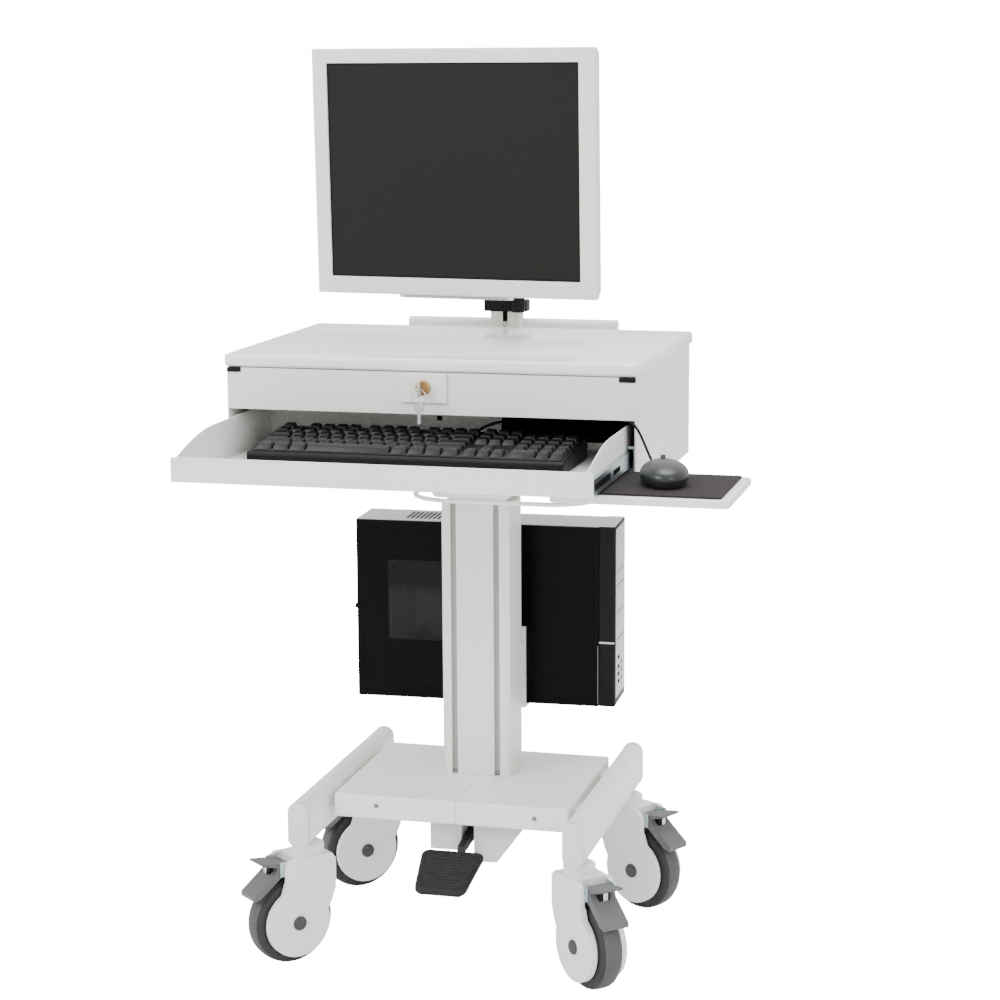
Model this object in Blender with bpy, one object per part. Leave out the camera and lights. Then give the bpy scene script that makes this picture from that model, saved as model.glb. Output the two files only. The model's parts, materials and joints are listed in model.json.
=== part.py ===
"""Hospital workstation cart: wheeled base, lifting column, lockable top box, pull-out
keyboard drawer, sliding mouse tray, monitor on a post and a small computer in a holder.

Metres, +Z up, the user stands at -Y. Z is 0 on the floor. Shapes are written in the
cart's own plan, whose X and Y are 0 on the column's front-to-back line; the empty
"cart" moves everything so that the origin is under the middle of the whole object.
"""
import math

import bmesh
import bpy
from mathutils import Matrix, Vector

GAP = 0.0003                        # clearance between touching pieces
SHEET = 0.0015                      # folded sheet of the box and the drawer

# casters
WHEEL_RADIUS = 0.061
WHEEL_SIDES = 32                    # one flat lies on the floor
TREAD_HALF = 0.016
HUB_HALF = 0.0175
TRAIL = 0.031                       # wheel axis behind the swivel axis
CHEEK_IN = 0.0190
CHEEK_OUT = 0.0275
CHEEK_RADIUS = 0.048
AXLE_RADIUS = 0.006
FORK_TOP = 0.152
BRAKE_PIVOT = (0.040, 0.139)        # ahead of the swivel axis along the trail, height
CASTERS = {                         # swivel axis x, y and the way each one trails, degrees
    "front_left": (-0.192, -0.221, 229.0),
    "front_right": (0.192, -0.221, -47.0),
    "rear_right": (0.192, 0.100, -28.5),
    "rear_left": (-0.192, 0.100, 223.5),
}

# base
RAIL_X = 0.192
RAIL_WIDTH = 0.030
RAIL_BOTTOM, RAIL_TOP = 0.167, 0.232
RAIL_FRONT, RAIL_REAR = -0.262, 0.142
STEM_RADIUS = 0.008
COVER_HALF = 0.167
COVER_FRONT, COVER_REAR = -0.179, 0.088
COVER_BOTTOM, COVER_TOP = 0.190, 0.2234
COVER_WALL = 0.004
PEDAL_X = 0.0172                    # the lever; the pad's middle is a little to its left
PAD_SHIFT = -0.006
PEDAL_PIVOT = (-0.085, 0.166)       # y, z

# column
COLUMN_X, COLUMN_Y = 0.0025, -0.009
COLUMN_HALF_X, COLUMN_HALF_Y = 0.0495, 0.039
COLUMN_TOP = 0.615
GROOVE_X = 0.0310                   # each side of the column's middle
GROOVE_WIDTH, GROOVE_DEPTH = 0.0085, 0.006
MAST_TOP = 0.6247
MAST_HALF_X, MAST_HALF_Y = 0.038, 0.0275
SPRING_BORE = 0.0056

# top box, lid and lock
BOX_X = -0.0175
BOX_HALF = 0.281
BOX_FRONT, BOX_REAR = -0.207, 0.1845
BOX_BOTTOM, BOX_TOP = 0.661, 0.8195
SHELF_TOP = 0.765
LID_X, LID_HALF = -0.017, 0.285
LID_FRONT, LID_REAR = -0.2095, 0.186
LID_BOTTOM, LID_TOP = 0.8205, 0.8375
LID_HINGE = (0.187, 0.8202)         # y, z
LOCK_X, LOCK_Z = -0.0215, 0.8000
LOCK_PLATE = (-0.053, 0.010, 0.779, 0.8190)
LOCK_FACE, LOCK_NECK = 0.0098, 0.0065

# drawer
TRAY_HALF = 0.2676
LIP_HALF = 0.2742
TRAY_FRONT, TRAY_REAR = -0.433, -0.075
TRAY_BOTTOM, LIP_TOP, TRAY_WALL_TOP = 0.7011, 0.7320, 0.755
KEYBOARD = (-0.240, 0.188, -0.298, -0.152)
KEYBOARD_FRONT_TOP, KEYBOARD_REAR_TOP = 0.7205, 0.7345
MOUSE = (0.317, -0.290)
MOUSE_TURN = 14.0
MOUSE_TRAY = (0.190, 0.4160, -0.388, -0.2085, 0.6855, 0.696)
MOUSE_MAT = (0.200, 0.4045, -0.3785, -0.2130, 0.6963, 0.6983)
WIRE_RADIUS, WIRE_Z = 0.003, 0.6775

# post and monitor
POST_X, POST_Y = -0.016, 0.2145
POST_HALF_X, POST_HALF_Y = 0.023, 0.011
SPIGOT_RADIUS = 0.012
POST_TOP = 1.029
ARM_Z = (1.0293, 1.0453)
SCREEN_CENTRE = (-0.049, 0.040, 1.0725)
SCREEN_HALF_X, SCREEN_HALF_Z = 0.188, 0.1505
MONITOR_YAW = -5.77                 # degrees about Z
MONITOR_TILT = 1.75                 # degrees, the screen looks down
TILT_BACK, PAN_BACK = 0.060, 0.075  # tilt and pan axes behind the screen

# computer
PC_PLACE, PC_TURN = (0.0025, 0.0726), 2.27        # it stands a little askew in its holder
PC = (-0.2099, 0.1746, 0.0, 0.0868, 0.2997, 0.5647)
PC_BEZEL_X = 0.1500
HOLDER_FRONT, HOLDER_REAR = 0.0655, 0.0700

ORIGIN = (0.0570, -0.0951)         # middle of the whole object in plan

COLOURS = {
    "white_paint": ((0.86, 0.86, 0.84), 0.35, 0.0),
    "white_plastic": ((0.84, 0.84, 0.81), 0.45, 0.0),
    "grey_plastic": ((0.33, 0.33, 0.34), 0.55, 0.0),
    "rubber": ((0.10, 0.10, 0.11), 0.7, 0.0),
    "black_plastic": ((0.02, 0.02, 0.022), 0.4, 0.0),
    "zinc": ((0.62, 0.66, 0.67), 0.3, 1.0),
    "steel": ((0.55, 0.55, 0.56), 0.3, 1.0),
    "brass": ((0.72, 0.52, 0.25), 0.3, 1.0),
    "aluminium": ((0.82, 0.82, 0.80), 0.4, 0.6),
    "screen_black": ((0.03, 0.03, 0.028), 0.5, 0.0),
}


def clear_scene():
    for obj in list(bpy.data.objects):
        bpy.data.objects.remove(obj, do_unlink=True)


def material(name):
    found = bpy.data.materials.get(name)
    if found:
        return found
    colour, roughness, metallic = COLOURS[name]
    made = bpy.data.materials.new(name)
    made.use_nodes = True
    shader = made.node_tree.nodes["Principled BSDF"]
    shader.inputs["Base Color"].default_value = (*colour, 1.0)
    shader.inputs["Roughness"].default_value = roughness
    shader.inputs["Metallic"].default_value = metallic
    return made


def empty(name, parent=None, location=(0, 0, 0), turn_z=0.0, turn_x=0.0):
    """A placement or joint axis, stated in its parent's frame; turns in degrees."""
    made = bpy.data.objects.new(name, None)
    bpy.context.scene.collection.objects.link(made)
    made.empty_display_size = 0.02
    made.parent = parent
    made.location = location
    made.rotation_euler = (math.radians(turn_x), 0.0, math.radians(turn_z))
    return made


def finish(mesh, bm, smooth_degrees=35):
    bmesh.ops.remove_doubles(bm, verts=bm.verts, dist=1e-6)
    bmesh.ops.recalc_face_normals(bm, faces=bm.faces)
    bm.to_mesh(mesh)
    bm.free()
    mesh.shade_smooth()
    mesh.set_sharp_from_angle(angle=math.radians(smooth_degrees))


def node(name, mesh, parent, colour, location=(0, 0, 0)):
    obj = bpy.data.objects.new(name, mesh)
    bpy.context.scene.collection.objects.link(obj)
    obj.parent = parent
    obj.location = location
    if not mesh.materials:
        mesh.materials.append(material(colour))
    return obj


def tool(mesh, parent, name="tool"):
    """A hidden shape for a Boolean."""
    obj = bpy.data.objects.new(name, mesh)
    bpy.context.scene.collection.objects.link(obj)
    obj.parent = parent
    obj.hide_render = True
    obj.display_type = "WIRE"
    return obj


def combine(obj, mesh, operation="DIFFERENCE"):
    other = tool(mesh, obj.parent, "tool_" + obj.name)
    other.location = obj.location
    step = obj.modifiers.new(operation.lower(), "BOOLEAN")
    step.operation = operation
    step.solver = "EXACT"
    step.object = other


def bevel(obj, width, segments=2, angle=40):
    step = obj.modifiers.new("edges", "BEVEL")
    step.width = width
    step.segments = segments
    step.limit_method = "ANGLE"
    step.angle_limit = math.radians(angle)


def block(x0, x1, y0, y1, z0, z1, corner=0.0, sides=4):
    """A box; corner rounds its four upright edges."""
    if corner:
        return prism(rounded_rectangle(x0, x1, y0, y1, corner, sides), z0, z1, "z")
    mesh = bpy.data.meshes.new("block")
    bm = bmesh.new()
    size = Vector((x1 - x0, y1 - y0, z1 - z0))
    middle = Vector((x0 + x1, y0 + y1, z0 + z1)) / 2
    bmesh.ops.create_cube(bm, size=1.0, matrix=Matrix.Translation(middle) @ Matrix.Diagonal(size).to_4x4())
    finish(mesh, bm)
    return mesh


def arc(cx, cy, radius, start, end, steps):
    """Points on a circle from start to end degrees."""
    angles = [math.radians(start + (end - start) * i / steps) for i in range(steps + 1)]
    return [(cx + radius * math.cos(a), cy + radius * math.sin(a)) for a in angles]


def rounded_rectangle(x0, x1, y0, y1, r, steps=4):
    return (arc(x1 - r, y1 - r, r, 0, 90, steps) + arc(x0 + r, y1 - r, r, 90, 180, steps)
            + arc(x0 + r, y0 + r, r, 180, 270, steps) + arc(x1 - r, y0 + r, r, 270, 360, steps))


def prism(outline, a, b, axis):
    """Carries a closed outline along an axis from a to b.

    The outline is (y, z) for axis x, (x, z) for axis y and (x, y) for axis z.
    """
    place = {"x": lambda p, t: (t, p[0], p[1]), "y": lambda p, t: (p[0], t, p[1]),
             "z": lambda p, t: (p[0], p[1], t)}[axis]
    mesh = bpy.data.meshes.new("prism")
    bm = bmesh.new()
    rows = [[bm.verts.new(place(p, t)) for p in outline] for t in (a, b)]
    count = len(outline)
    for i in range(count):
        j = (i + 1) % count
        bm.faces.new((rows[0][i], rows[0][j], rows[1][j], rows[1][i]))
    bm.faces.new(rows[0])
    bm.faces.new(reversed(rows[1]))
    finish(mesh, bm)
    return mesh


def turned(profile, axis, centre, sides, phase=0.5):
    """Turns a closed profile of (along, radius) points about an axis through centre."""
    mesh = bpy.data.meshes.new("turned")
    bm = bmesh.new()
    rings = []
    for i in range(sides):
        a = 2 * math.pi * (i + phase) / sides
        ring = []
        for along, radius in profile:
            u, v = radius * math.sin(a), -radius * math.cos(a)
            spot = {"x": (along, u, v), "y": (u, along, v), "z": (u, v, along)}[axis]
            ring.append(bm.verts.new(Vector(centre) + Vector(spot)))
        rings.append(ring)
    count = len(profile)
    for i in range(sides):
        for k in range(count):
            m = (k + 1) % count
            here, there = rings[i], rings[(i + 1) % sides]
            corners = [here[k], here[m], there[m], there[k]]
            if profile[k][1] < 1e-9 and profile[m][1] < 1e-9:
                continue
            bm.faces.new(corners)
    bmesh.ops.remove_doubles(bm, verts=bm.verts, dist=1e-6)
    bmesh.ops.dissolve_degenerate(bm, edges=bm.edges, dist=1e-7)
    finish(mesh, bm)
    return mesh


def rod(axis, centre, radius, a, b, sides=16):
    """A plain round bar along an axis from a to b, measured from centre."""
    return turned([(a, 0.0), (a, radius), (b, radius), (b, 0.0)], axis, centre, sides)


def cable(name, points, radius, parent, colour, resolution=2):
    """A round bar or cord along points, as a POLY curve with filled ends."""
    curve = bpy.data.curves.new(name, "CURVE")
    curve.dimensions = "3D"
    spline = curve.splines.new("POLY")
    spline.points.add(len(points) - 1)
    for spot, point in zip(spline.points, points):
        spot.co = (*point, 1.0)
    curve.bevel_depth = radius
    curve.bevel_resolution = resolution
    curve.resolution_u = 1
    curve.render_resolution_u = 0
    curve.use_fill_caps = True
    obj = bpy.data.objects.new(name, curve)
    bpy.context.scene.collection.objects.link(obj)
    obj.parent = parent
    curve.materials.append(material(colour))
    return obj


def smooth_path(knots, step):
    """Evenly spaced points on a Catmull-Rom curve through the knots."""
    knots = [Vector(k) for k in knots]
    ends = [2 * knots[0] - knots[1]] + knots + [2 * knots[-1] - knots[-2]]
    fine = []
    for i in range(1, len(ends) - 2):
        p0, p1, p2, p3 = ends[i - 1:i + 3]
        for k in range(24):
            t = k / 24
            fine.append(0.5 * (2 * p1 + (p2 - p0) * t + (2 * p0 - 5 * p1 + 4 * p2 - p3) * t * t
                               + (3 * p1 - p0 - 3 * p2 + p3) * t ** 3))
    fine.append(knots[-1])
    length = sum((b - a).length for a, b in zip(fine, fine[1:]))
    count = max(2, round(length / step))
    spots, run, want = [fine[0]], 0.0, 1
    for a, b in zip(fine, fine[1:]):
        piece = (b - a).length
        while want < count and run + piece >= length * want / count:
            spots.append(a.lerp(b, (length * want / count - run) / piece))
            want += 1
        run += piece
    return spots + [fine[-1]]


# ---- casters -----------------------------------------------------------------

def fork_mesh_parts():
    """Side view of the white fork: a round cheek at the hub and the housing above it."""
    cheek = arc(TRAIL, WHEEL_RADIUS, CHEEK_RADIUS, 60, -195, 22)
    housing = [(-0.022, 0.087), (-0.027, 0.101), (-0.028, 0.116), (-0.028, 0.144),
               (-0.022, FORK_TOP), (0.040, FORK_TOP), (0.047, 0.147), (0.049, 0.140),
               (0.049, 0.124), (0.051, 0.114)]
    return cheek + housing


def build_caster(corner, x, y, heading, parent):
    swivel = empty("swivel_" + corner, parent, (x, y, 0.0), turn_z=heading)
    hub = (TRAIL, 0.0, WHEEL_RADIUS)

    fork = node("caster_fork_" + corner, prism(fork_mesh_parts(), -CHEEK_OUT, CHEEK_OUT, "y"),
                swivel, "white_plastic")
    slot = WHEEL_RADIUS + 0.0025
    combine(fork, rod("y", hub, slot, -CHEEK_IN, CHEEK_IN, 32))
    combine(fork, block(0.031, 0.08, -0.0205, 0.0205, 0.118, FORK_TOP + 0.01))
    combine(fork, rod("y", hub, AXLE_RADIUS + GAP, -0.04, 0.04, 16))
    stem = [(FORK_TOP - 0.004, 0.0), (FORK_TOP - 0.004, 0.022), (RAIL_BOTTOM - 0.003, 0.022),
            (RAIL_BOTTOM - 0.0006, 0.018), (RAIL_BOTTOM - 0.0006, STEM_RADIUS),
            (RAIL_BOTTOM + 0.028, STEM_RADIUS), (RAIL_BOTTOM + 0.028, 0.0)]
    combine(fork, turned(stem, "z", (0, 0, 0), 20), "UNION")

    wheel_axis = empty("axle_line_" + corner, swivel, hub)
    flat = 1.0 / math.cos(math.pi / WHEEL_SIDES)        # puts the flats, not the corners, at the radius
    profile = [(-HUB_HALF, 0.0065), (-HUB_HALF, 0.0400), (-TREAD_HALF, 0.0440), (-TREAD_HALF, 0.0545),
               (-0.0115, 0.0596), (-0.0070, 0.0610), (0.0070, 0.0610), (0.0115, 0.0596),
               (TREAD_HALF, 0.0545), (TREAD_HALF, 0.0440), (HUB_HALF, 0.0400), (HUB_HALF, 0.0065)]
    profile = [(a, r * flat) for a, r in profile]
    node("wheel_" + corner, turned(profile, "y", (0, 0, 0), WHEEL_SIDES), wheel_axis, "rubber")

    caps = [(-0.0305, 0.0), (-0.0305, 0.0095), (-0.0278, 0.0105), (-0.0278, AXLE_RADIUS),
            (0.0278, AXLE_RADIUS), (0.0278, 0.0105), (0.0305, 0.0095), (0.0305, 0.0)]
    node("axle_" + corner, turned(caps, "y", (0, 0, 0), 20), wheel_axis, "grey_plastic")

    bx, bz = BRAKE_PIVOT
    pivot = empty("brake_pivot_" + corner, swivel, (bx, 0.0, bz))
    rocker = [(-0.006, -0.004), (-0.004, 0.005), (0.012, 0.0085), (0.0415, 0.0125), (0.0425, 0.0095),
              (0.018, 0.003), (0.021, -0.003), (0.0565, -0.031), (0.0560, -0.0385), (0.0455, -0.0365),
              (0.008, -0.0070), (-0.003, -0.009)]
    node("brake_pedal_" + corner, prism(rocker, -0.0195, 0.0195, "y"), pivot, "grey_plastic")


# ---- base --------------------------------------------------------------------

def build_base(parent):
    for side, sign in (("left", -1), ("right", 1)):
        x = sign * RAIL_X
        r = RAIL_WIDTH / 2
        outline = arc(x, RAIL_TOP - r, r, 0, 180, 8) + arc(x, RAIL_BOTTOM + r, r, 180, 360, 8)
        rail = node("side_rail_" + side, prism(outline, RAIL_FRONT, RAIL_REAR, "y"), parent, "white_paint")
        bevel(rail, 0.003, 2, 60)
        for y in (-0.130, 0.040):                       # spacers that carry the cover
            near, far = sign * (COVER_HALF + GAP), sign * (RAIL_X - 0.010)
            combine(rail, block(min(near, far), max(near, far), y - 0.02, y + 0.02, 0.196, 0.214), "UNION")
        for corner, (cx, cy, _) in CASTERS.items():
            if corner.endswith(side):
                combine(rail, rod("z", (cx, cy, 0), STEM_RADIUS + 0.0006,
                                  RAIL_BOTTOM - 0.02, RAIL_BOTTOM + 0.031, 16))

    cover = node("base_cover", block(-COVER_HALF, COVER_HALF, COVER_FRONT, COVER_REAR, COVER_BOTTOM,
                                     COVER_TOP), parent, "white_paint")
    bevel(cover, 0.0025, 2, 60)
    combine(cover, block(-COVER_HALF + COVER_WALL, COVER_HALF - COVER_WALL, COVER_FRONT + COVER_WALL,
                         COVER_REAR - COVER_WALL, COVER_BOTTOM - 0.01, COVER_TOP - COVER_WALL))

    top = COVER_TOP - COVER_WALL - GAP
    housing = [(-0.037, 0.144), (0.0215, 0.144), (0.0225, 0.1285), (0.059, 0.1305),
               (0.092, 0.178), (0.092, top), (-0.037, top)]
    body = node("pedal_housing", prism(housing, -0.150, -0.020, "y"), parent, "grey_plastic")
    combine(body, block(PEDAL_X - 0.0085, PEDAL_X + 0.0085, -0.160, -0.060, 0.120, 0.190))

    pivot_y, pivot_z = PEDAL_PIVOT
    pedal_axis = empty("pedal_axis", parent, (PEDAL_X, pivot_y, pivot_z))
    lever = [(0.010, -0.009), (0.013, 0.0), (0.008, 0.010), (-0.020, 0.011), (-0.098, -0.004),
             (-0.104, -0.014), (-0.020, -0.007)]
    pedal = node("foot_pedal", prism(lever, -0.005, 0.005, "x"), pedal_axis, "black_plastic")
    corners = ((-0.049, -0.100), (0.041, -0.100), (0.032, -0.182), (-0.038, -0.182))
    pad = [(x + PAD_SHIFT, y) for x, y in corners]
    plate = bpy.data.meshes.new("pad")
    bm = bmesh.new()
    drop = (0.154 - 0.1235) / 0.080                     # slope of the pad towards the toe
    rows = []
    for under in (0.0, 0.009):
        rows.append([bm.verts.new((x, y, -0.009 + (y + 0.100) * drop - under)) for x, y in pad])
    for i in range(4):
        j = (i + 1) % 4
        bm.faces.new((rows[0][i], rows[0][j], rows[1][j], rows[1][i]))
    bm.faces.new(rows[0])
    bm.faces.new(reversed(rows[1]))
    bmesh.ops.bevel(bm, geom=bm.edges, offset=0.0025, segments=1, affect="EDGES")
    finish(plate, bm)
    combine(pedal, plate, "UNION")


# ---- column ------------------------------------------------------------------

def build_column(base, head):
    x0, x1 = COLUMN_X - COLUMN_HALF_X, COLUMN_X + COLUMN_HALF_X
    y0, y1 = COLUMN_Y - COLUMN_HALF_Y, COLUMN_Y + COLUMN_HALF_Y
    foot = COVER_TOP + GAP
    outer = node("column_outer", block(x0, x1, y0, y1, foot, COLUMN_TOP, corner=0.008), base, "aluminium")
    combine(outer, block(COLUMN_X - MAST_HALF_X - 0.001, COLUMN_X + MAST_HALF_X + 0.001,
                         COLUMN_Y - MAST_HALF_Y - 0.001, COLUMN_Y + MAST_HALF_Y + 0.001,
                         foot + 0.006, COLUMN_TOP + 0.01))
    for sign in (-1, 1):
        x = COLUMN_X + sign * GROOVE_X
        combine(outer, block(x - GROOVE_WIDTH / 2, x + GROOVE_WIDTH / 2, y0 - 0.01, y0 + GROOVE_DEPTH,
                             foot - 0.01, COLUMN_TOP + 0.01))

    inner = node("column_mast", block(COLUMN_X - MAST_HALF_X, COLUMN_X + MAST_HALF_X,
                                      COLUMN_Y - MAST_HALF_Y, COLUMN_Y + MAST_HALF_Y,
                                      0.245, MAST_TOP), head, "aluminium")
    combine(inner, block(COLUMN_X - MAST_HALF_X + 0.005, COLUMN_X + MAST_HALF_X - 0.005,
                         COLUMN_Y - MAST_HALF_Y + 0.005, COLUMN_Y + MAST_HALF_Y - 0.005,
                         0.230, MAST_TOP + 0.01))

    centre = (COLUMN_X, COLUMN_Y, 0)
    tube = [(foot + 0.0063, 0.0), (foot + 0.0063, 0.011), (0.560, 0.011), (0.560, SPRING_BORE),
            (foot + 0.016, SPRING_BORE), (foot + 0.016, 0.0)]
    node("gas_spring_tube", turned(tube, "z", centre, 16), base, "black_plastic")
    node("gas_spring_rod", rod("z", centre, SPRING_BORE - 0.0005, foot + 0.019, MAST_TOP, 12), head, "steel")

    low = MAST_TOP + GAP
    bracket = [(COLUMN_X - 0.050, low), (COLUMN_X + 0.050, low), (COLUMN_X + 0.070, 0.6545),
               (0.120, 0.6545), (0.120, BOX_BOTTOM - GAP), (-0.115, BOX_BOTTOM - GAP), (-0.115, 0.6545),
               (COLUMN_X - 0.070, 0.6545)]
    node("top_bracket", prism(bracket, -0.060, 0.060, "y"), head, "white_paint")


# ---- box, lid and lock -------------------------------------------------------

def build_box(head):
    x0, x1 = BOX_X - BOX_HALF, BOX_X + BOX_HALF
    box = node("box_body", block(x0, x1, BOX_FRONT, BOX_REAR, BOX_BOTTOM, BOX_TOP), head, "white_paint")
    inside = (x0 + SHEET, x1 - SHEET)
    combine(box, block(*inside, BOX_FRONT - 0.01, BOX_REAR - SHEET, BOX_BOTTOM + SHEET, SHELF_TOP - SHEET))
    combine(box, block(*inside, BOX_FRONT + SHEET, BOX_REAR - SHEET, SHELF_TOP, BOX_TOP + 0.01))
    combine(box, block(0.165, 0.235, BOX_REAR - 0.01, BOX_REAR + 0.01, 0.738, 0.762))
    combine(box, rod("y", (LOCK_X, BOX_FRONT, LOCK_Z), LOCK_NECK + GAP, -0.02, 0.02, 16))

    lid_axis = empty("lid_hinge", head, (0, *LID_HINGE))
    y, z = LID_HINGE
    lid = node("lid", block(LID_X - LID_HALF, LID_X + LID_HALF, LID_FRONT - y, LID_REAR - y,
                            LID_BOTTOM - z, LID_TOP - z, corner=0.005), lid_axis, "white_paint")
    bevel(lid, 0.003, 2, 60)

    px0, px1, pz0, pz1 = LOCK_PLATE
    plate = node("lock_plate", block(px0, px1, BOX_FRONT - 0.0045, BOX_FRONT - GAP, pz0, pz1),
                 head, "white_paint")
    bevel(plate, 0.0010, 1, 60)
    combine(plate, rod("y", (LOCK_X, BOX_FRONT, LOCK_Z), LOCK_NECK + GAP, -0.02, 0.02, 16))

    lock_axis = empty("lock_axis", head, (LOCK_X, BOX_FRONT, LOCK_Z))
    barrel = [(-0.0105, 0.0), (-0.0105, LOCK_FACE - 0.001), (-0.0095, LOCK_FACE), (-0.0050, LOCK_FACE),
              (-0.0050, LOCK_NECK), (0.0130, LOCK_NECK), (0.0130, 0.0)]
    lock = node("lock_cylinder", turned(barrel, "y", (0, 0, 0), 20), lock_axis, "brass")
    combine(lock, block(-0.005, 0.005, 0.0100, 0.0125, -0.0060, 0.0140), "UNION")

    bow = rounded_rectangle(-0.0300, -0.0108, -0.0100, 0.0100, 0.004, 3)
    key = node("lock_key", prism(bow, -0.001, 0.001, "x"), lock_axis, "steel")
    combine(key, block(-0.005, 0.005, -0.0285, -0.0235, -0.0068, 0.0068))

    ring_axis = empty("key_ring_axis", lock_axis, (0, -0.026, 0))
    ring_radius = 0.0095
    ring_profile = [(0.0008 * math.cos(a * math.pi / 3), ring_radius + 0.0008 * math.sin(a * math.pi / 3))
                    for a in range(6)]
    ring = node("key_ring", turned(ring_profile, "y", (0, 0, -ring_radius), 20), ring_axis, "steel")
    low = -2 * ring_radius
    spare = [(-0.0055, low + 0.003), (0.0055, low + 0.003), (0.0070, low - 0.003), (0.0060, low - 0.010),
             (0.0022, low - 0.012), (0.0022, low - 0.026), (-0.0018, low - 0.028), (-0.0018, low - 0.012),
             (-0.0060, low - 0.010), (-0.0070, low - 0.003)]
    combine(ring, prism(spare, -0.0006, 0.0006, "y"), "UNION")


# ---- drawer, keyboard and mouse ----------------------------------------------

def build_drawer(head, drawer):
    x0, x1 = BOX_X - TRAY_HALF, BOX_X + TRAY_HALF
    side = [(TRAY_FRONT + GAP, TRAY_BOTTOM), (TRAY_REAR, TRAY_BOTTOM), (TRAY_REAR, TRAY_WALL_TOP - 0.008),
            (TRAY_REAR - 0.012, TRAY_WALL_TOP)]
    rise = TRAY_WALL_TOP - LIP_TOP
    for i in range(7):                                  # the wall's top falls to the lip on a quarter wave
        t = i / 6
        fall = rise * (1 - math.cos(t * math.pi / 2))
        side.append((-0.300 + (TRAY_FRONT + GAP + 0.300) * t, TRAY_WALL_TOP - fall))
    tray = node("keyboard_tray", prism(side, x0, x1, "x"), drawer, "white_paint")
    combine(tray, block(x0 + SHEET, x1 - SHEET, TRAY_FRONT + 0.003, TRAY_REAR - SHEET,
                        TRAY_BOTTOM + SHEET, TRAY_WALL_TOP + 0.02))
    combine(tray, block(0.050, x1 - SHEET, TRAY_REAR - 0.01, TRAY_REAR + 0.01, 0.7120, TRAY_WALL_TOP + 0.02))
    combine(tray, block(BOX_X - LIP_HALF, BOX_X + LIP_HALF, TRAY_FRONT, TRAY_FRONT + 0.0030,
                        TRAY_BOTTOM - GAP, LIP_TOP + GAP), "UNION")

    for name, sign in (("left", -1), ("right", 1)):
        wall = BOX_X + sign * TRAY_HALF
        lining = BOX_X + sign * (BOX_HALF - SHEET)
        near, far = wall + sign * 0.0003, wall + sign * 0.0056
        node("slide_inner_" + name, block(min(near, far), max(near, far), TRAY_FRONT + 0.008, TRAY_REAR,
                                          0.7015, 0.7225), drawer, "zinc")
        web, back = lining - sign * 0.0022, lining - sign * 0.0003
        lips = lining - sign * 0.0098
        channel = [(back, 0.6945), (back, 0.7295), (lips, 0.7295), (lips, 0.7260), (web, 0.7260),
                   (web, 0.6980), (lips, 0.6980), (lips, 0.6945)]
        node("slide_outer_" + name, prism(channel, BOX_FRONT + 0.004, 0.150, "y"), head, "zinc")


def build_keyboard(drawer):
    x0, x1, y0, y1 = KEYBOARD
    floor = TRAY_BOTTOM + SHEET + GAP
    slope = (KEYBOARD_REAR_TOP - KEYBOARD_FRONT_TOP) / (y1 - y0)
    case = [(y0, floor), (y1, floor), (y1, KEYBOARD_REAR_TOP - 0.003), (y1 - 0.003, KEYBOARD_REAR_TOP),
            (y0 + 0.003, KEYBOARD_FRONT_TOP), (y0, KEYBOARD_FRONT_TOP - 0.003)]
    node("keyboard_case", prism(case, x0, x1, "x"), drawer, "black_plastic")

    def face(y):
        return KEYBOARD_FRONT_TOP + GAP + (y - y0) * slope

    def pad(a, b, front, rear, lift):
        outline = [(front, face(front)), (rear, face(rear)), (rear - 0.002, face(rear) + lift),
                   (front + 0.002, face(front) + lift)]
        return prism(outline, a, b, "x")

    rear_row, gap, key_top = y1 - 0.0275, 0.005, 0.0062
    keys = node("keyboard_keys", pad(x0 + 0.006, x1 - 0.006, y0 + 0.007, y1 - 0.006, 0.0012),
                drawer, "black_plastic")
    main_end, nav_end = x0 + 0.2855, x0 + 0.346
    for a, b in ((x0 + 0.008, main_end), (main_end + gap, nav_end), (nav_end + gap, x1 - 0.008)):
        combine(keys, pad(a, b, y0 + 0.012, rear_row - gap, key_top), "UNION")
    combine(keys, pad(x0 + 0.008, nav_end, rear_row, y1 - 0.010, key_top), "UNION")

    lead = [(0.021, y1 + 0.0015, 0.7235), (0.023, y1 + 0.010, 0.7250), (0.034, y1 + 0.024, 0.7340),
            (0.052, y1 + 0.036, 0.7410), (0.074, y1 + 0.048, 0.7430), (0.096, y1 + 0.060, 0.7415),
            (0.114, TRAY_REAR - 0.006, 0.7360), (0.124, TRAY_REAR - 0.0015, 0.7250),
            (0.127, TRAY_REAR - 0.0007, 0.7142)]
    cable("keyboard_lead", smooth_path(lead, 0.0060), 0.0019, drawer, "black_plastic")


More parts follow.
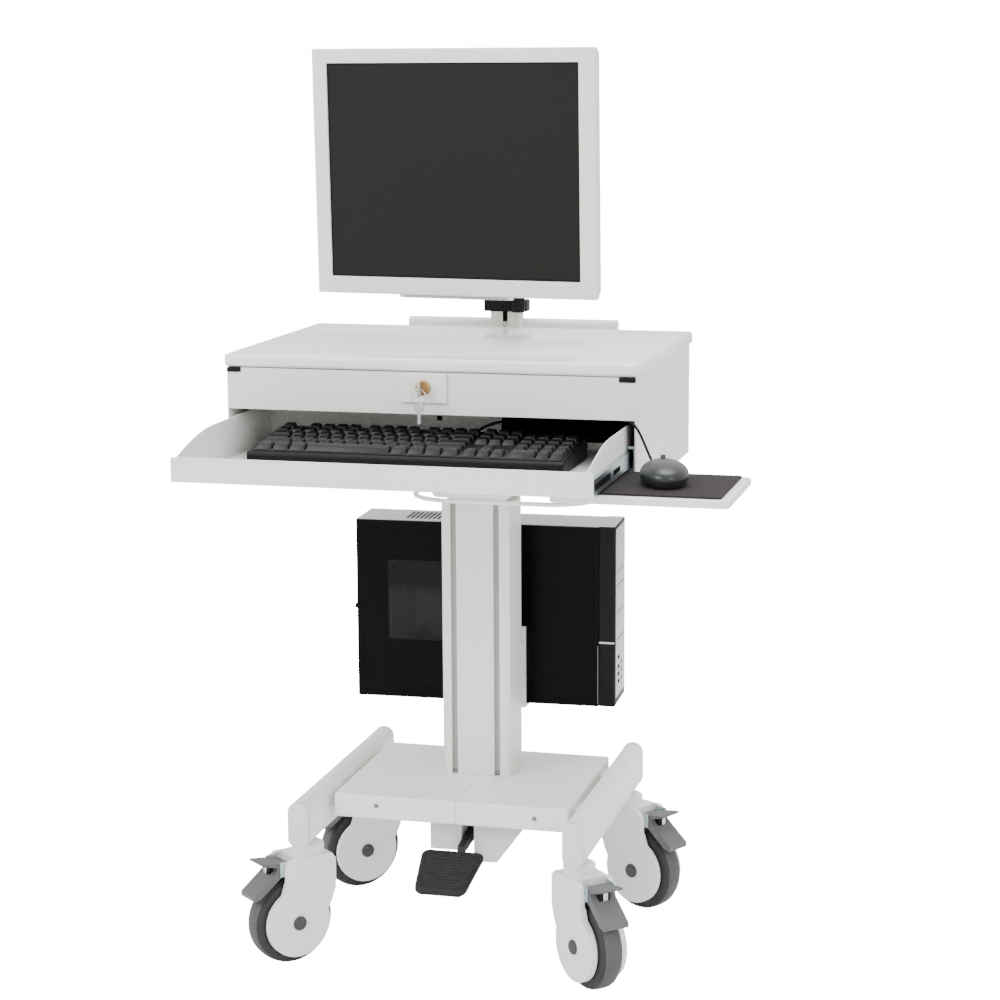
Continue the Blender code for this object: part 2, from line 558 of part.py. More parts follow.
def build_mouse(head, mouse_slide, drawer):
    x0, x1, y0, y1, z0, z1 = MOUSE_TRAY
    board = node("mouse_tray", block(x0, x1, y0, y1, z0, z1, corner=0.006), mouse_slide, "white_plastic")
    bevel(board, 0.0015, 1, 60)
    x0, x1, y0, y1, z0, z1 = MOUSE_MAT
    node("mouse_mat", block(x0, x1, y0, y1, z0, z1, corner=0.004), mouse_slide, "rubber")

    z = WIRE_Z
    under = BOX_BOTTOM - 0.0006 - WIRE_RADIUS
    left, right, front, turn = -0.004, 0.235, -0.360, 0.055
    route = [(left, -0.100, under), (left, -0.190, under), (left, -0.216, under), (left, -0.232, (z + under) / 2),
             (left, -0.250, z)]
    route += [(px, py, z) for px, py in arc(left + turn, front + turn, turn, 180, 270, 8)]
    route += [(px, py, z) for px, py in arc(right - turn, front + turn, turn, 270, 360, 8)]
    route += [(right, -0.250, z), (right, -0.232, (z + under) / 2), (right, -0.216, under), (right, -0.190, under),
              (right, -0.100, under)]
    cable("mouse_tray_wire", smooth_path(route, 0.010), WIRE_RADIUS, head, "white_paint", 2)

    mx, my = MOUSE
    foot = MOUSE_MAT[5] + GAP
    spot = empty("mouse_place", head, (mx, my, foot), turn_z=MOUSE_TURN)
    shell = bpy.data.meshes.new("mouse")
    bm = bmesh.new()
    bmesh.ops.create_uvsphere(bm, u_segments=24, v_segments=14, radius=1.0)
    for vert in bm.verts:
        x, y, up = vert.co
        rise = math.copysign(abs(up) ** 0.85, up)
        vert.co = (0.0310 * x * (1 - 0.08 * y), 0.0540 * y, 0.004 + 0.0285 * rise)
    cut = bmesh.ops.bisect_plane(bm, geom=bm.verts[:] + bm.edges[:] + bm.faces[:],
                                 plane_co=(0, 0, 0), plane_no=(0, 0, -1), clear_outer=True)
    rim = [e for e in cut["geom_cut"] if isinstance(e, bmesh.types.BMEdge)]
    bmesh.ops.contextual_create(bm, geom=rim)
    finish(shell, bm, 50)
    mouse = node("mouse_body", shell, spot, "grey_plastic")
    wheel_y, wheel_z = 0.026, 0.0210
    combine(mouse, block(-0.0038, 0.0038, wheel_y - 0.0125, wheel_y + 0.0125, 0.0085, 0.05))
    wheel_axis = empty("mouse_wheel_axis", spot, (0, wheel_y, wheel_z))
    node("mouse_wheel", turned([(-0.0032, 0.002), (-0.0032, 0.0100), (-0.0022, 0.0110), (0.0022, 0.0110),
                                (0.0032, 0.0100), (0.0032, 0.002)], "x", (0, 0, 0), 20), wheel_axis, "rubber")

    lead = [(0.3030, -0.2360, 0.7085), (0.2975, -0.2260, 0.7090), (0.2880, -0.2190, 0.7135),
            (0.2812, -0.2150, 0.7250), (0.2750, -0.2130, 0.7380), (0.2690, -0.2122, 0.7500),
            (0.2622, -0.2110, 0.7588), (0.2562, -0.2060, 0.7612), (0.2540, -0.1930, 0.7612),
            (0.2535, -0.1500, 0.7610), (0.2530, -0.0500, 0.7605), (0.2500, 0.0500, 0.7600),
            (0.2440, 0.1200, 0.7590), (0.2250, 0.1580, 0.7550), (0.2060, 0.1720, 0.7515),
            (0.2000, 0.1830, 0.7500)]
    cable("mouse_lead", smooth_path(lead, 0.0072), 0.00165, head, "black_plastic")


# ---- post and monitor --------------------------------------------------------

def build_post(head):
    post = node("monitor_post", block(POST_X - POST_HALF_X, POST_X + POST_HALF_X, POST_Y - POST_HALF_Y,
                                      POST_Y + POST_HALF_Y, 0.690, POST_TOP, corner=0.004, sides=2),
                head, "aluminium")
    spigot = rod("z", (POST_X, POST_Y, 0), SPIGOT_RADIUS, POST_TOP - 0.002, ARM_Z[1] + 0.0047, 20)
    combine(post, spigot, "UNION")
    combine(post, block(POST_X - 0.020, POST_X + 0.020, BOX_REAR + GAP, POST_Y - POST_HALF_Y + 0.001,
                        0.695, 0.790), "UNION")
    combine(post, block(POST_X - 0.004, POST_X + 0.004, POST_Y - POST_HALF_Y - 0.01,
                        POST_Y - POST_HALF_Y + 0.004, 0.805, POST_TOP + 0.01))

    bar_y = POST_Y + POST_HALF_Y + GAP + 0.0085
    node("rear_handle", rod("x", (-0.01225, bar_y, 0.8375), 0.0085, -0.1593, 0.1593, 16), head, "white_paint")

    z0, z1 = 0.8587, 0.8751
    front, rear = POST_Y - 0.0160, POST_Y + 0.0165
    collar = node("clamp_collar", block(POST_X - 0.0325, POST_X + 0.0325, front, rear, z0, z1, corner=0.006,
                                        sides=3), head, "black_plastic")
    combine(collar, block(POST_X - POST_HALF_X - GAP, POST_X + POST_HALF_X + GAP,
                          POST_Y - POST_HALF_Y - GAP, POST_Y + POST_HALF_Y + GAP, z0 - 0.01, z1 + 0.01))
    lever_axis = empty("clamp_lever_axis", head, (POST_X + 0.0275, front - 0.0062, z0))
    lever = node("clamp_lever", block(-0.0145, 0.0052, -0.0055, 0.0052, 0.0, 0.0218, corner=0.005, sides=4),
                 lever_axis, "black_plastic")
    bevel(lever, 0.002, 2, 60)


def build_monitor(head):
    yaw = math.radians(MONITOR_YAW)
    ahead = Vector((math.sin(yaw), -math.cos(yaw), 0.0))    # the way the screen looks, in plan
    centre = Vector(SCREEN_CENTRE)
    pan = centre - ahead * PAN_BACK
    arm_axis = empty("arm_axis", head, (POST_X, POST_Y, ARM_Z[0]))

    reach = Vector((pan.x - POST_X, pan.y - POST_Y))
    along = math.degrees(math.atan2(reach.y, reach.x))
    length = reach.length
    arm_frame = empty("arm_frame", arm_axis, turn_z=along)
    outline = arc(0, 0, 0.019, 90, 270, 10) + arc(length, 0, 0.017, -90, 90, 10)
    height = ARM_Z[1] - ARM_Z[0]
    arm = node("monitor_arm", prism(outline, 0.0, height, "z"), arm_frame, "white_paint")
    combine(arm, rod("z", (0, 0, 0), SPIGOT_RADIUS + GAP, -0.01, 0.04, 20))
    combine(arm, rod("z", (length, 0, 0), 0.0075 + GAP, -0.01, 0.04, 16))

    pan_axis = empty("pan_axis", arm_axis, (pan.x - POST_X, pan.y - POST_Y, 0.0), turn_z=MONITOR_YAW)
    lift = centre.z - ARM_Z[0]                              # tilt axis above the arm's underside
    post = [(-0.004, 0.0), (-0.004, 0.0075), (height + GAP, 0.0075), (height + GAP, 0.0130),
            (lift + 0.016, 0.0130), (lift + 0.016, 0.0)]
    head_piece = node("tilt_head", turned(post, "z", (0, 0, 0), 16), pan_axis, "grey_plastic")
    combine(head_piece, rod("x", (0, -(PAN_BACK - TILT_BACK), lift), 0.0080, -0.0215, 0.0215, 14), "UNION")

    tilt_axis = empty("tilt_axis", pan_axis, (0, -(PAN_BACK - TILT_BACK), lift), turn_x=MONITOR_TILT)
    d = TILT_BACK                                           # the screen lies this far ahead of the axis
    left, right, low, high = -0.2105, 0.2125, -0.1750, 0.1705
    shell_front = -d + 0.0100
    back = node("monitor_back", block(left + 0.003, right - 0.003, shell_front, -d + 0.030,
                                      low + 0.003, high - 0.003), tilt_axis, "white_plastic")
    bevel(back, 0.006, 2, 60)
    combine(back, block(-0.110, 0.112, -d + 0.020, -d + 0.0430, -0.095, 0.095, corner=0.012), "UNION")
    for x in (-0.0250, 0.0220):
        combine(back, block(x, x + 0.003, -d + 0.040, 0.009, -0.010, 0.010), "UNION")

    frame = node("monitor_bezel", block(left, right, -d - 0.0030, shell_front - GAP, low, high),
                 tilt_axis, "white_plastic")
    bevel(frame, 0.0025, 2, 60)
    combine(frame, block(-SCREEN_HALF_X, SCREEN_HALF_X, -d - 0.01, -d + 0.02, -SCREEN_HALF_Z, SCREEN_HALF_Z))
    combine(frame, block(-0.0850, 0.0860, -d + 0.0005, -d + 0.0080, low - 0.0040, low + 0.004), "UNION")
    node("monitor_screen", block(-SCREEN_HALF_X + GAP, SCREEN_HALF_X - GAP, -d, shell_front - GAP,
                                 -SCREEN_HALF_Z + GAP, SCREEN_HALF_Z - GAP), tilt_axis, "screen_black")


# ---- computer ----------------------------------------------------------------

def build_computer(base):
    x0, x1, y0, y1, z0, z1 = PC
    spot = empty("computer_place", base, (*PC_PLACE, 0.0), turn_z=PC_TURN)
    wall, panel = 0.0012, 0.0025
    case = node("pc_case", block(x0, PC_BEZEL_X, y0 + panel + GAP, y1, z0, z1), spot, "steel")
    combine(case, block(x0 + wall, PC_BEZEL_X - wall, y0 - 0.01, y1 - wall, z0 + wall, z1 - wall))
    node("pc_side_panel", block(x0, PC_BEZEL_X, y0, y0 + panel, z0, z1 - 0.0005), spot, "black_plastic")
    bezel = node("pc_front_bezel", block(PC_BEZEL_X + GAP, x1, y0, y1, z0, z1 + 0.0010),
                 spot, "black_plastic")
    bevel(bezel, 0.0020, 2, 60)
    button_z, button_y = z1 - 0.045, (y0 + y1) / 2
    combine(bezel, rod("x", (x1, button_y, button_z), 0.0083, -0.006, 0.01, 16))
    axis = empty("button_axis", spot, (x1, button_y, button_z))
    node("pc_power_button", rod("x", (0, 0, 0), 0.0080, -0.0030, 0.0008, 16), axis, "steel")

    root = COLUMN_Y + COLUMN_HALF_Y + GAP
    lip = 0.1630                                        # clear of the computer's back at both ends
    holder = [(root, 0.325), (root, 0.395), (HOLDER_FRONT, 0.395), (HOLDER_FRONT, 0.4155),
              (HOLDER_REAR, 0.4155), (HOLDER_REAR, z0 - GAP), (lip, z0 - GAP),
              (lip, z0 + 0.020), (lip + 0.0030, z0 + 0.020),
              (lip + 0.0030, z0 - 0.0045), (HOLDER_FRONT, z0 - 0.0045), (HOLDER_FRONT, 0.325)]
    node("pc_holder", prism(holder, -0.048, 0.0470, "x"), base, "white_paint")


def main():
    clear_scene()
    cart = empty("cart", None, (-ORIGIN[0], -ORIGIN[1], 0.0))
    head = empty("head", cart)
    drawer = empty("drawer", head)
    mouse_slide = empty("mouse_slide", head)
    for corner, (x, y, heading) in CASTERS.items():
        build_caster(corner, x, y, heading, cart)
    build_base(cart)
    build_column(cart, head)
    build_box(head)
    build_drawer(head, drawer)
    build_keyboard(drawer)
    build_mouse(head, mouse_slide, drawer)
    build_post(head)
    build_monitor(head)
    build_computer(cart)
    bpy.context.view_layer.update()


main()
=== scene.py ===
import json
import math

import bmesh
import bpy
import numpy as np
from mathutils import Matrix, Vector


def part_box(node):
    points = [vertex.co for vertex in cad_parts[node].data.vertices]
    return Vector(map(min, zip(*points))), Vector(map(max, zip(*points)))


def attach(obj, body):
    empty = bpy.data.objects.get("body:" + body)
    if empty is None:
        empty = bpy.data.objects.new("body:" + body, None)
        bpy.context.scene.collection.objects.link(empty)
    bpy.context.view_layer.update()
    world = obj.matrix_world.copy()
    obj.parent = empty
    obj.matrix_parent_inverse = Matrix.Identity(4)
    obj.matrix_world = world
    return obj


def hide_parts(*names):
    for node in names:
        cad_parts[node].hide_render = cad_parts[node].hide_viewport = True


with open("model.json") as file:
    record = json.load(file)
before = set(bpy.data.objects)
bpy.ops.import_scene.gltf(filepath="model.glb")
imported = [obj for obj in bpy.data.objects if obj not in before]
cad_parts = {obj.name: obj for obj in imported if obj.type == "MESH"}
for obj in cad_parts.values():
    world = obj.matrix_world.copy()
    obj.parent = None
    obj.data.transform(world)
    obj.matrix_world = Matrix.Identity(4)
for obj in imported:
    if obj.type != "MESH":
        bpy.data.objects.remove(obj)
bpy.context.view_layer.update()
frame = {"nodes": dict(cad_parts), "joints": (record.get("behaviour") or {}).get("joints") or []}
nodes = frame["nodes"]
joints = {joint["name"]: joint for joint in frame["joints"]}
columnLow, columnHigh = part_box("column_outer")
middle = (columnLow + columnHigh) / 2
offset = Vector((middle.x - 0.0025, middle.y + 0.009, 0.0))   # cart plan to frame


# A point of the cart's own plan, moved into the frame.
def at(x, y, z):
    return Vector((x, y, z)) + offset


view = {"place": (0.885, -3.300, 1.234), "yaw": 14.74, "pitch": -10.41, "roll": -0.36, "lens": 88.42,
        "shift": (0.0072, 0.0041)}


def makeCamera(facts):
    yaw, pitch, roll = (math.radians(facts[k]) for k in ("yaw", "pitch", "roll"))
    ahead = Vector((-math.sin(yaw) * math.cos(pitch), math.cos(yaw) * math.cos(pitch), math.sin(pitch)))
    right = Vector((math.cos(yaw), math.sin(yaw), 0.0))
    up = right.cross(ahead)
    turnedRight = math.cos(roll) * right + math.sin(roll) * up
    turnedUp = math.cos(roll) * up - math.sin(roll) * right
    camera = bpy.data.objects.new("camera", bpy.data.cameras.new("camera"))
    bpy.context.scene.collection.objects.link(camera)
    axes = Matrix((turnedRight, turnedUp, -ahead)).transposed().to_4x4()
    camera.matrix_world = Matrix.Translation(at(*facts["place"])) @ axes
    camera.data.lens = facts["lens"]
    camera.data.sensor_width = 36.0
    camera.data.shift_x, camera.data.shift_y = facts["shift"]
    camera.data.clip_end = 60.0
    bpy.context.scene.camera = camera


makeCamera(view)
print("camera")


# A shader group; inputs and outputs are (name, socket kind, first value) and (name, socket kind).
def newGroup(name, inputs, outputs):
    group = bpy.data.node_groups.new(name, "ShaderNodeTree")
    for label, kind, value in inputs:
        socket = group.interface.new_socket(name=label, in_out="INPUT", socket_type=kind)
        socket.default_value = value
    for label, kind in outputs:
        group.interface.new_socket(name=label, in_out="OUTPUT", socket_type=kind)
    return group, group.nodes.new("NodeGroupInput"), group.nodes.new("NodeGroupOutput")


# Adds a node; links maps an input's name or number to a value or to another node's socket.
def node(tree, kind, links=None, **settings):
    made = tree.nodes.new("ShaderNode" + kind)
    for key, value in settings.items():
        setattr(made, key, value)
    for key, value in (links or {}).items():
        if isinstance(value, bpy.types.NodeSocket):
            tree.links.new(value, made.inputs[key])
        else:
            made.inputs[key].default_value = value
    return made


# Clouds of a second colour over the first, and a roughness that follows them.
def makeMottle():
    group, start, end = newGroup("mottle", [("Place", "NodeSocketVector", (0, 0, 0)),
                                            ("Base", "NodeSocketColor", (1, 1, 1, 1)),
                                            ("Second", "NodeSocketColor", (1, 1, 1, 1)),
                                            ("Scale", "NodeSocketFloat", 8.0),
                                            ("Amount", "NodeSocketFloat", 0.5),
                                            ("Rough", "NodeSocketFloat", 0.4),
                                            ("Rough change", "NodeSocketFloat", 0.1)],
                                 [("Colour", "NodeSocketColor"), ("Roughness", "NodeSocketFloat")])
    noise = node(group, "TexNoise", {"Vector": start.outputs["Place"], "Scale": start.outputs["Scale"],
                                     "Detail": 5.0})
    cloud = noise.outputs["Fac"]
    strength = node(group, "Math", {0: cloud, 1: start.outputs["Amount"]}, operation="MULTIPLY")
    mix = node(group, "MixRGB", {0: strength.outputs[0], 1: start.outputs["Base"], 2: start.outputs["Second"]})
    change = node(group, "Math", {0: cloud, 1: start.outputs["Rough change"]}, operation="MULTIPLY")
    rough = node(group, "Math", {0: change.outputs[0], 1: start.outputs["Rough"]}, operation="ADD")
    group.links.new(mix.outputs[0], end.inputs["Colour"])
    group.links.new(rough.outputs[0], end.inputs["Roughness"])
    return group


# Height of a fine grain, stretched by the three numbers of Stretch.
def makeGrain():
    group, start, end = newGroup("grain", [("Place", "NodeSocketVector", (0, 0, 0)),
                                           ("Stretch", "NodeSocketVector", (1, 1, 1)),
                                           ("Scale", "NodeSocketFloat", 600.0)],
                                 [("Height", "NodeSocketFloat")])
    stretched = node(group, "VectorMath", {0: start.outputs["Place"], 1: start.outputs["Stretch"]},
                     operation="MULTIPLY")
    noise = node(group, "TexNoise", {"Vector": stretched.outputs[0], "Scale": start.outputs["Scale"],
                                     "Detail": 3.0})
    group.links.new(noise.outputs["Fac"], end.inputs["Height"])
    return group


# Small dark flecks scattered over a colour.
def makeSpeckle():
    group, start, end = newGroup("speckle", [("Place", "NodeSocketVector", (0, 0, 0)),
                                             ("Base", "NodeSocketColor", (1, 1, 1, 1)),
                                             ("Fleck", "NodeSocketColor", (0, 0, 0, 1)),
                                             ("Scale", "NodeSocketFloat", 700.0),
                                             ("Cover", "NodeSocketFloat", 0.3)],
                                 [("Colour", "NodeSocketColor")])
    cells = node(group, "TexVoronoi", {"Vector": start.outputs["Place"], "Scale": start.outputs["Scale"]})
    pick = node(group, "SeparateColor", {0: cells.outputs["Color"]})
    near = node(group, "Math", {0: pick.outputs[0], 1: start.outputs["Cover"]}, operation="LESS_THAN")
    small = node(group, "Math", {0: cells.outputs["Distance"], 1: 0.45}, operation="LESS_THAN")
    mask = node(group, "Math", {0: near.outputs[0], 1: small.outputs[0]}, operation="MULTIPLY")
    mix = node(group, "MixRGB", {0: mask.outputs[0], 1: start.outputs["Base"], 2: start.outputs["Fleck"]})
    group.links.new(mix.outputs[0], end.inputs["Colour"])
    return group


mottle, grain, speckle = makeMottle(), makeGrain(), makeSpeckle()
coatRoughness = 0.08


# A finish with clouded colour, varying roughness and a fine relief.
def finishOf(name, base, second, rough, change=0.08, cloud=9.0, amount=0.6, grainScale=900.0, bump=0.05,
             stretch=(1, 1, 1), metal=0.0, coat=0.0, fleck=None, cover=0.25, fleckScale=700.0, specular=0.5,
             depth=0.0004):
    made = bpy.data.materials.new(name)
    made.use_nodes = True
    tree = made.node_tree
    shader = tree.nodes["Principled BSDF"]
    place = node(tree, "TexCoord").outputs["Object"]
    blend = node(tree, "Group", node_tree=mottle)
    tree.links.new(place, blend.inputs["Place"])
    for key, value in (("Base", (*base, 1)), ("Second", (*second, 1)), ("Scale", cloud), ("Amount", amount),
                       ("Rough", rough), ("Rough change", change)):
        blend.inputs[key].default_value = value
    colour = blend.outputs["Colour"]
    if fleck:
        dots = node(tree, "Group", node_tree=speckle)
        tree.links.new(place, dots.inputs["Place"])
        tree.links.new(colour, dots.inputs["Base"])
        dots.inputs["Fleck"].default_value = (*fleck, 1)
        dots.inputs["Scale"].default_value = fleckScale
        dots.inputs["Cover"].default_value = cover
        colour = dots.outputs["Colour"]
    relief = node(tree, "Group", node_tree=grain)
    tree.links.new(place, relief.inputs["Place"])
    relief.inputs["Stretch"].default_value = stretch
    relief.inputs["Scale"].default_value = grainScale
    bumpNode = node(tree, "Bump", {"Height": relief.outputs["Height"], "Strength": bump, "Distance": depth})
    tree.links.new(colour, shader.inputs["Base Color"])
    tree.links.new(blend.outputs["Roughness"], shader.inputs["Roughness"])
    tree.links.new(bumpNode.outputs["Normal"], shader.inputs["Normal"])
    shader.inputs["Metallic"].default_value = metal
    shader.inputs["Coat Weight"].default_value = coat
    shader.inputs["Coat Roughness"].default_value = coatRoughness
    shader.inputs["Specular IOR Level"].default_value = specular
    return made


powderWhite = finishOf("powderWhite", (0.80, 0.80, 0.775), (0.74, 0.74, 0.72), 0.36, grainScale=700,
                       bump=0.25)
lidWhite = finishOf("lidWhite", (0.83, 0.83, 0.81), (0.79, 0.79, 0.775), 0.16, change=0.1, cloud=4, bump=0.03,
                    coat=0.6)
panelWhite = finishOf("panelWhite", (0.74, 0.735, 0.71), (0.68, 0.675, 0.65), 0.42, grainScale=900, bump=0.3)
mouldedWhite = finishOf("mouldedWhite", (0.78, 0.78, 0.76), (0.72, 0.72, 0.70), 0.42, grainScale=1400,
                        bump=0.3)
bezelWhite = finishOf("bezelWhite", (0.72, 0.715, 0.68), (0.66, 0.655, 0.62), 0.46, grainScale=1800,
                      bump=0.35)
lacquered = finishOf("lacqueredAluminium", (0.74, 0.735, 0.70), (0.66, 0.655, 0.625), 0.38, cloud=5,
                     grainScale=90, stretch=(12, 12, 0.4), bump=0.25, metal=0.15)
greyMoulded = finishOf("greyMoulded", (0.030, 0.030, 0.032), (0.045, 0.045, 0.048), 0.5, grainScale=1500,
                       bump=0.5)
housingGrey = finishOf("housingGrey", (0.080, 0.080, 0.088), (0.12, 0.12, 0.128), 0.5, grainScale=1500,
                       bump=0.5)
blackMoulded = finishOf("blackMoulded", (0.0022, 0.0022, 0.0024), (0.005, 0.005, 0.0055), 0.40,
                        grainScale=1800, bump=0.5, specular=0.15)
blackGloss = finishOf("blackGloss", (0.0012, 0.0014, 0.0013), (0.0025, 0.003, 0.0028), 0.18, change=0.06,
                      bump=0.02, specular=0.05)
tyreGrey = finishOf("tyreGrey", (0.045, 0.043, 0.050), (0.075, 0.073, 0.080), 0.55, cloud=40, grainScale=900,
                    bump=0.6)
tyreDark = finishOf("tyreDark", (0.010, 0.010, 0.011), (0.020, 0.020, 0.021), 0.6, cloud=40, grainScale=900,
                    bump=0.6)
padRubber = finishOf("padRubber", (0.004, 0.0038, 0.0035), (0.010, 0.0095, 0.009), 0.5, grainScale=1200,
                     bump=0.8, specular=0.3)
matWeave = finishOf("matWeave", (0.012, 0.009, 0.011), (0.022, 0.018, 0.020), 0.8, cloud=60, grainScale=700,
                    bump=1.0, fleck=(0.045, 0.038, 0.042), cover=0.35, fleckScale=900, specular=0.2)
zincPlate = finishOf("zincPlate", (0.36, 0.47, 0.50), (0.50, 0.56, 0.57), 0.26, cloud=30, grainScale=300,
                     stretch=(6, 0.3, 6), bump=0.2, metal=1.0)
steelPlate = finishOf("steelPlate", (0.56, 0.56, 0.57), (0.48, 0.48, 0.49), 0.24, cloud=60, grainScale=900,
                      bump=0.15, metal=1.0)
caseSteel = finishOf("caseSteel", (0.52, 0.52, 0.53), (0.60, 0.60, 0.60), 0.42, cloud=20, grainScale=900,
                     bump=0.15, metal=0.5)
brassWorn = finishOf("brassWorn", (0.60, 0.36, 0.13), (0.24, 0.12, 0.05), 0.28, change=0.3, cloud=260,
                     grainScale=900, bump=0.4, metal=1.0)
trayLaminate = finishOf("trayLaminate", (0.62, 0.62, 0.61), (0.70, 0.70, 0.69), 0.45,
                        fleck=(0.36, 0.36, 0.37), cover=0.45, fleckScale=650)
screenPanel = finishOf("screenPanel", (0.0088, 0.0088, 0.0078), (0.0115, 0.0115, 0.0102), 0.42, cloud=3,
                       bump=0.03, specular=0.12)
# black for slots and holes, and for the painted shade inside the drawer bay
slotAndShadeBlack = finishOf("slotAndShadeBlack", (0.002, 0.002, 0.002), (0.004, 0.004, 0.004), 0.8, specular=0.05)
keyBlack = finishOf("keyBlack", (0.005, 0.005, 0.0055), (0.009, 0.009, 0.0095), 0.36, grainScale=2500,
                    bump=0.4, specular=0.35)
mouseGrey = finishOf("mouseGrey", (0.012, 0.014, 0.015), (0.020, 0.023, 0.024), 0.30, grainScale=1500,
                     bump=0.2, specular=0.4)
capWhite = finishOf("capWhite", (0.66, 0.655, 0.63), (0.60, 0.595, 0.57), 0.45, grainScale=1200, bump=0.3)
seamGrey = finishOf("seamGrey", (0.34, 0.34, 0.34), (0.28, 0.28, 0.28), 0.6)
stripGrey = finishOf("stripGrey", (0.30, 0.30, 0.295), (0.40, 0.40, 0.39), 0.55, cloud=20)
# dark steel for screws, jacks and small plates, and painted shade at the feet of the column grooves
darkSteelAndShade = finishOf("darkSteelAndShade", (0.22, 0.22, 0.23), (0.30, 0.30, 0.31), 0.34, metal=1.0)
windowDark = finishOf("windowDark", (0.0015, 0.0015, 0.0015), (0.003, 0.003, 0.003), 0.10, change=0.04,
                      specular=0.2)
frontSilver = finishOf("frontSilver", (0.46, 0.46, 0.47), (0.54, 0.54, 0.55), 0.34, grainScale=1500,
                       bump=0.2, metal=0.5)
print("finishes")


# A surface through an n by m by 3 array of points; caps fills the first and last rows.
def fromGrid(points, name, closeAcross=False, closeAlong=False, caps=False):
    n, m = points.shape[:2]
    index = np.arange(n * m).reshape(n, m)
    rows = np.arange(n if closeAlong else n - 1)
    columns = np.arange(m if closeAcross else m - 1)
    r, c = np.meshgrid(rows, columns, indexing="ij")
    quads = np.stack([index[r, c], index[r, (c + 1) % m], index[(r + 1) % n, (c + 1) % m],
                      index[(r + 1) % n, c]], -1)
    faces = quads.reshape(-1, 4).tolist()
    if caps:
        faces += [index[0, ::-1].tolist(), index[-1].tolist()]
    mesh = bpy.data.meshes.new(name)
    mesh.from_pydata(points.reshape(-1, 3).tolist(), [], faces)
    return mesh


# Puts a mesh on a body as a finished piece.
def place(mesh, body, material, stands=None, smooth=40.0, tidy=True):
    if tidy:
        work = bmesh.new()
        work.from_mesh(mesh)
        bmesh.ops.remove_doubles(work, verts=work.verts, dist=1e-6)
        bmesh.ops.recalc_face_normals(work, faces=work.faces)
        work.to_mesh(mesh)
        work.free()
    piece = bpy.data.objects.new(mesh.name, mesh)
    bpy.context.scene.collection.objects.link(piece)
    for one in material if isinstance(material, (list, tuple)) else [material]:
        mesh.materials.append(one)
    mesh.shade_smooth()
    mesh.set_sharp_from_angle(angle=math.radians(smooth))
    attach(piece, body)
    if stands:
        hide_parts(*([stands] if isinstance(stands, str) else stands))
    return piece


# A CAD node again with its edges rounded.
def softCopy(name, body, material, width, segments=3, angle=35.0, smooth=35.0):
    mesh = nodes[name].data.copy()
    mesh.name = name + "_soft"
    mesh.materials.clear()
    work = bmesh.new()
    work.from_mesh(mesh)
    bmesh.ops.remove_doubles(work, verts=work.verts, dist=1e-6)
    bmesh.ops.dissolve_limit(work, angle_limit=math.radians(1.0), verts=work.verts, edges=work.edges)
    work.to_mesh(mesh)
    work.free()
    piece = place(mesh, body, material, name, smooth, tidy=False)
    rounding = piece.modifiers.new("rounding", "BEVEL")
    rounding.width = width
    rounding.segments = segments
    rounding.limit_method = "ANGLE"
    rounding.angle_limit = math.radians(angle)
    rounding.harden_normals = True
    return piece


# The axis made one long, and two directions square to it.
def basis(axis):
    axis = np.array(axis, float) / np.linalg.norm(axis)
    side = np.cross(axis, (0, 0, 1)) if abs(axis[2]) < 0.9 else np.array((1.0, 0, 0))
    side /= np.linalg.norm(side)
    return axis, side, np.cross(axis, side)


# Turns (along, radius) points about an axis: point = centre + along * axis + radius * (side cos + up sin).
def spun(name, profile, centre, axis, sides=64):
    axis, side, up = basis(axis)
    profile = np.array(profile, float)
    turn = np.linspace(0, 2 * np.pi, sides, endpoint=False)
    ring = np.cos(turn)[:, None] * side + np.sin(turn)[:, None] * up
    points = (np.array(centre, float) + profile[:, None, :1] * axis + profile[:, None, 1:] * ring[None])
    return fromGrid(points, name, closeAcross=True, caps=profile[0, 1] > 1e-5 and profile[-1, 1] > 1e-5
                    and np.linalg.norm(profile[0] - profile[-1]) > 1e-6)


# A flat plate: a rounded rectangle in plan, pulled in by edge at its top and bottom.
def slab(name, low, high, corner=0.0, edge=0.0006, steps=6):
    low, high = np.array(low, float), np.array(high, float)
    corner = max(corner, edge * 1.05)
    turn = np.radians(np.arange(4 * (steps + 1)) // (steps + 1) * 90
                      + np.tile(np.linspace(0, 90, steps + 1), 4))
    quarter = np.repeat(np.array([(1, 1), (0, 1), (0, 0), (1, 0)]), steps + 1, axis=0)
    rows = []
    for pull, z in ((edge, low[2]), (edge * 0.3, low[2] + edge * 0.3), (0, low[2] + edge), (0, high[2] - edge),
                    (edge * 0.3, high[2] - edge * 0.3), (edge, high[2])):
        centre = np.where(quarter == 1, high[:2] - corner, low[:2] + corner)
        xy = centre + (corner - pull) * np.stack([np.cos(turn), np.sin(turn)], -1)
        rows.append(np.concatenate([xy, np.full((len(turn), 1), z)], 1))
    return fromGrid(np.array(rows), name, closeAcross=True, caps=True)


# Several loose meshes as one piece.
def joined(name, meshes):
    work = bmesh.new()
    for mesh in meshes:
        work.from_mesh(mesh)
    made = bpy.data.meshes.new(name)
    work.to_mesh(made)
    work.free()
    return made


# Evenly spaced points on a Catmull-Rom curve through the knots.
def smoothLine(knots, step):
    knots = np.array(knots, float)
    ends = np.vstack([2 * knots[0] - knots[1], knots, 2 * knots[-1] - knots[-2]])
    t = np.linspace(0, 1, 24, endpoint=False)[:, None]
    parts = [0.5 * (2 * b + (c - a) * t + (2 * a - 5 * b + 4 * c - d) * t ** 2
                    + (3 * b - a - 3 * c + d) * t ** 3)
             for a, b, c, d in zip(ends, ends[1:], ends[2:], ends[3:])]
    fine = np.vstack(parts + [knots[-1:]])
    run = np.concatenate([[0], np.cumsum(np.linalg.norm(np.diff(fine, axis=0), axis=1))])
    want = np.linspace(0, run[-1], max(3, round(run[-1] / step) + 1))
    return np.stack([np.interp(want, run, fine[:, k]) for k in range(3)], 1), run[-1]


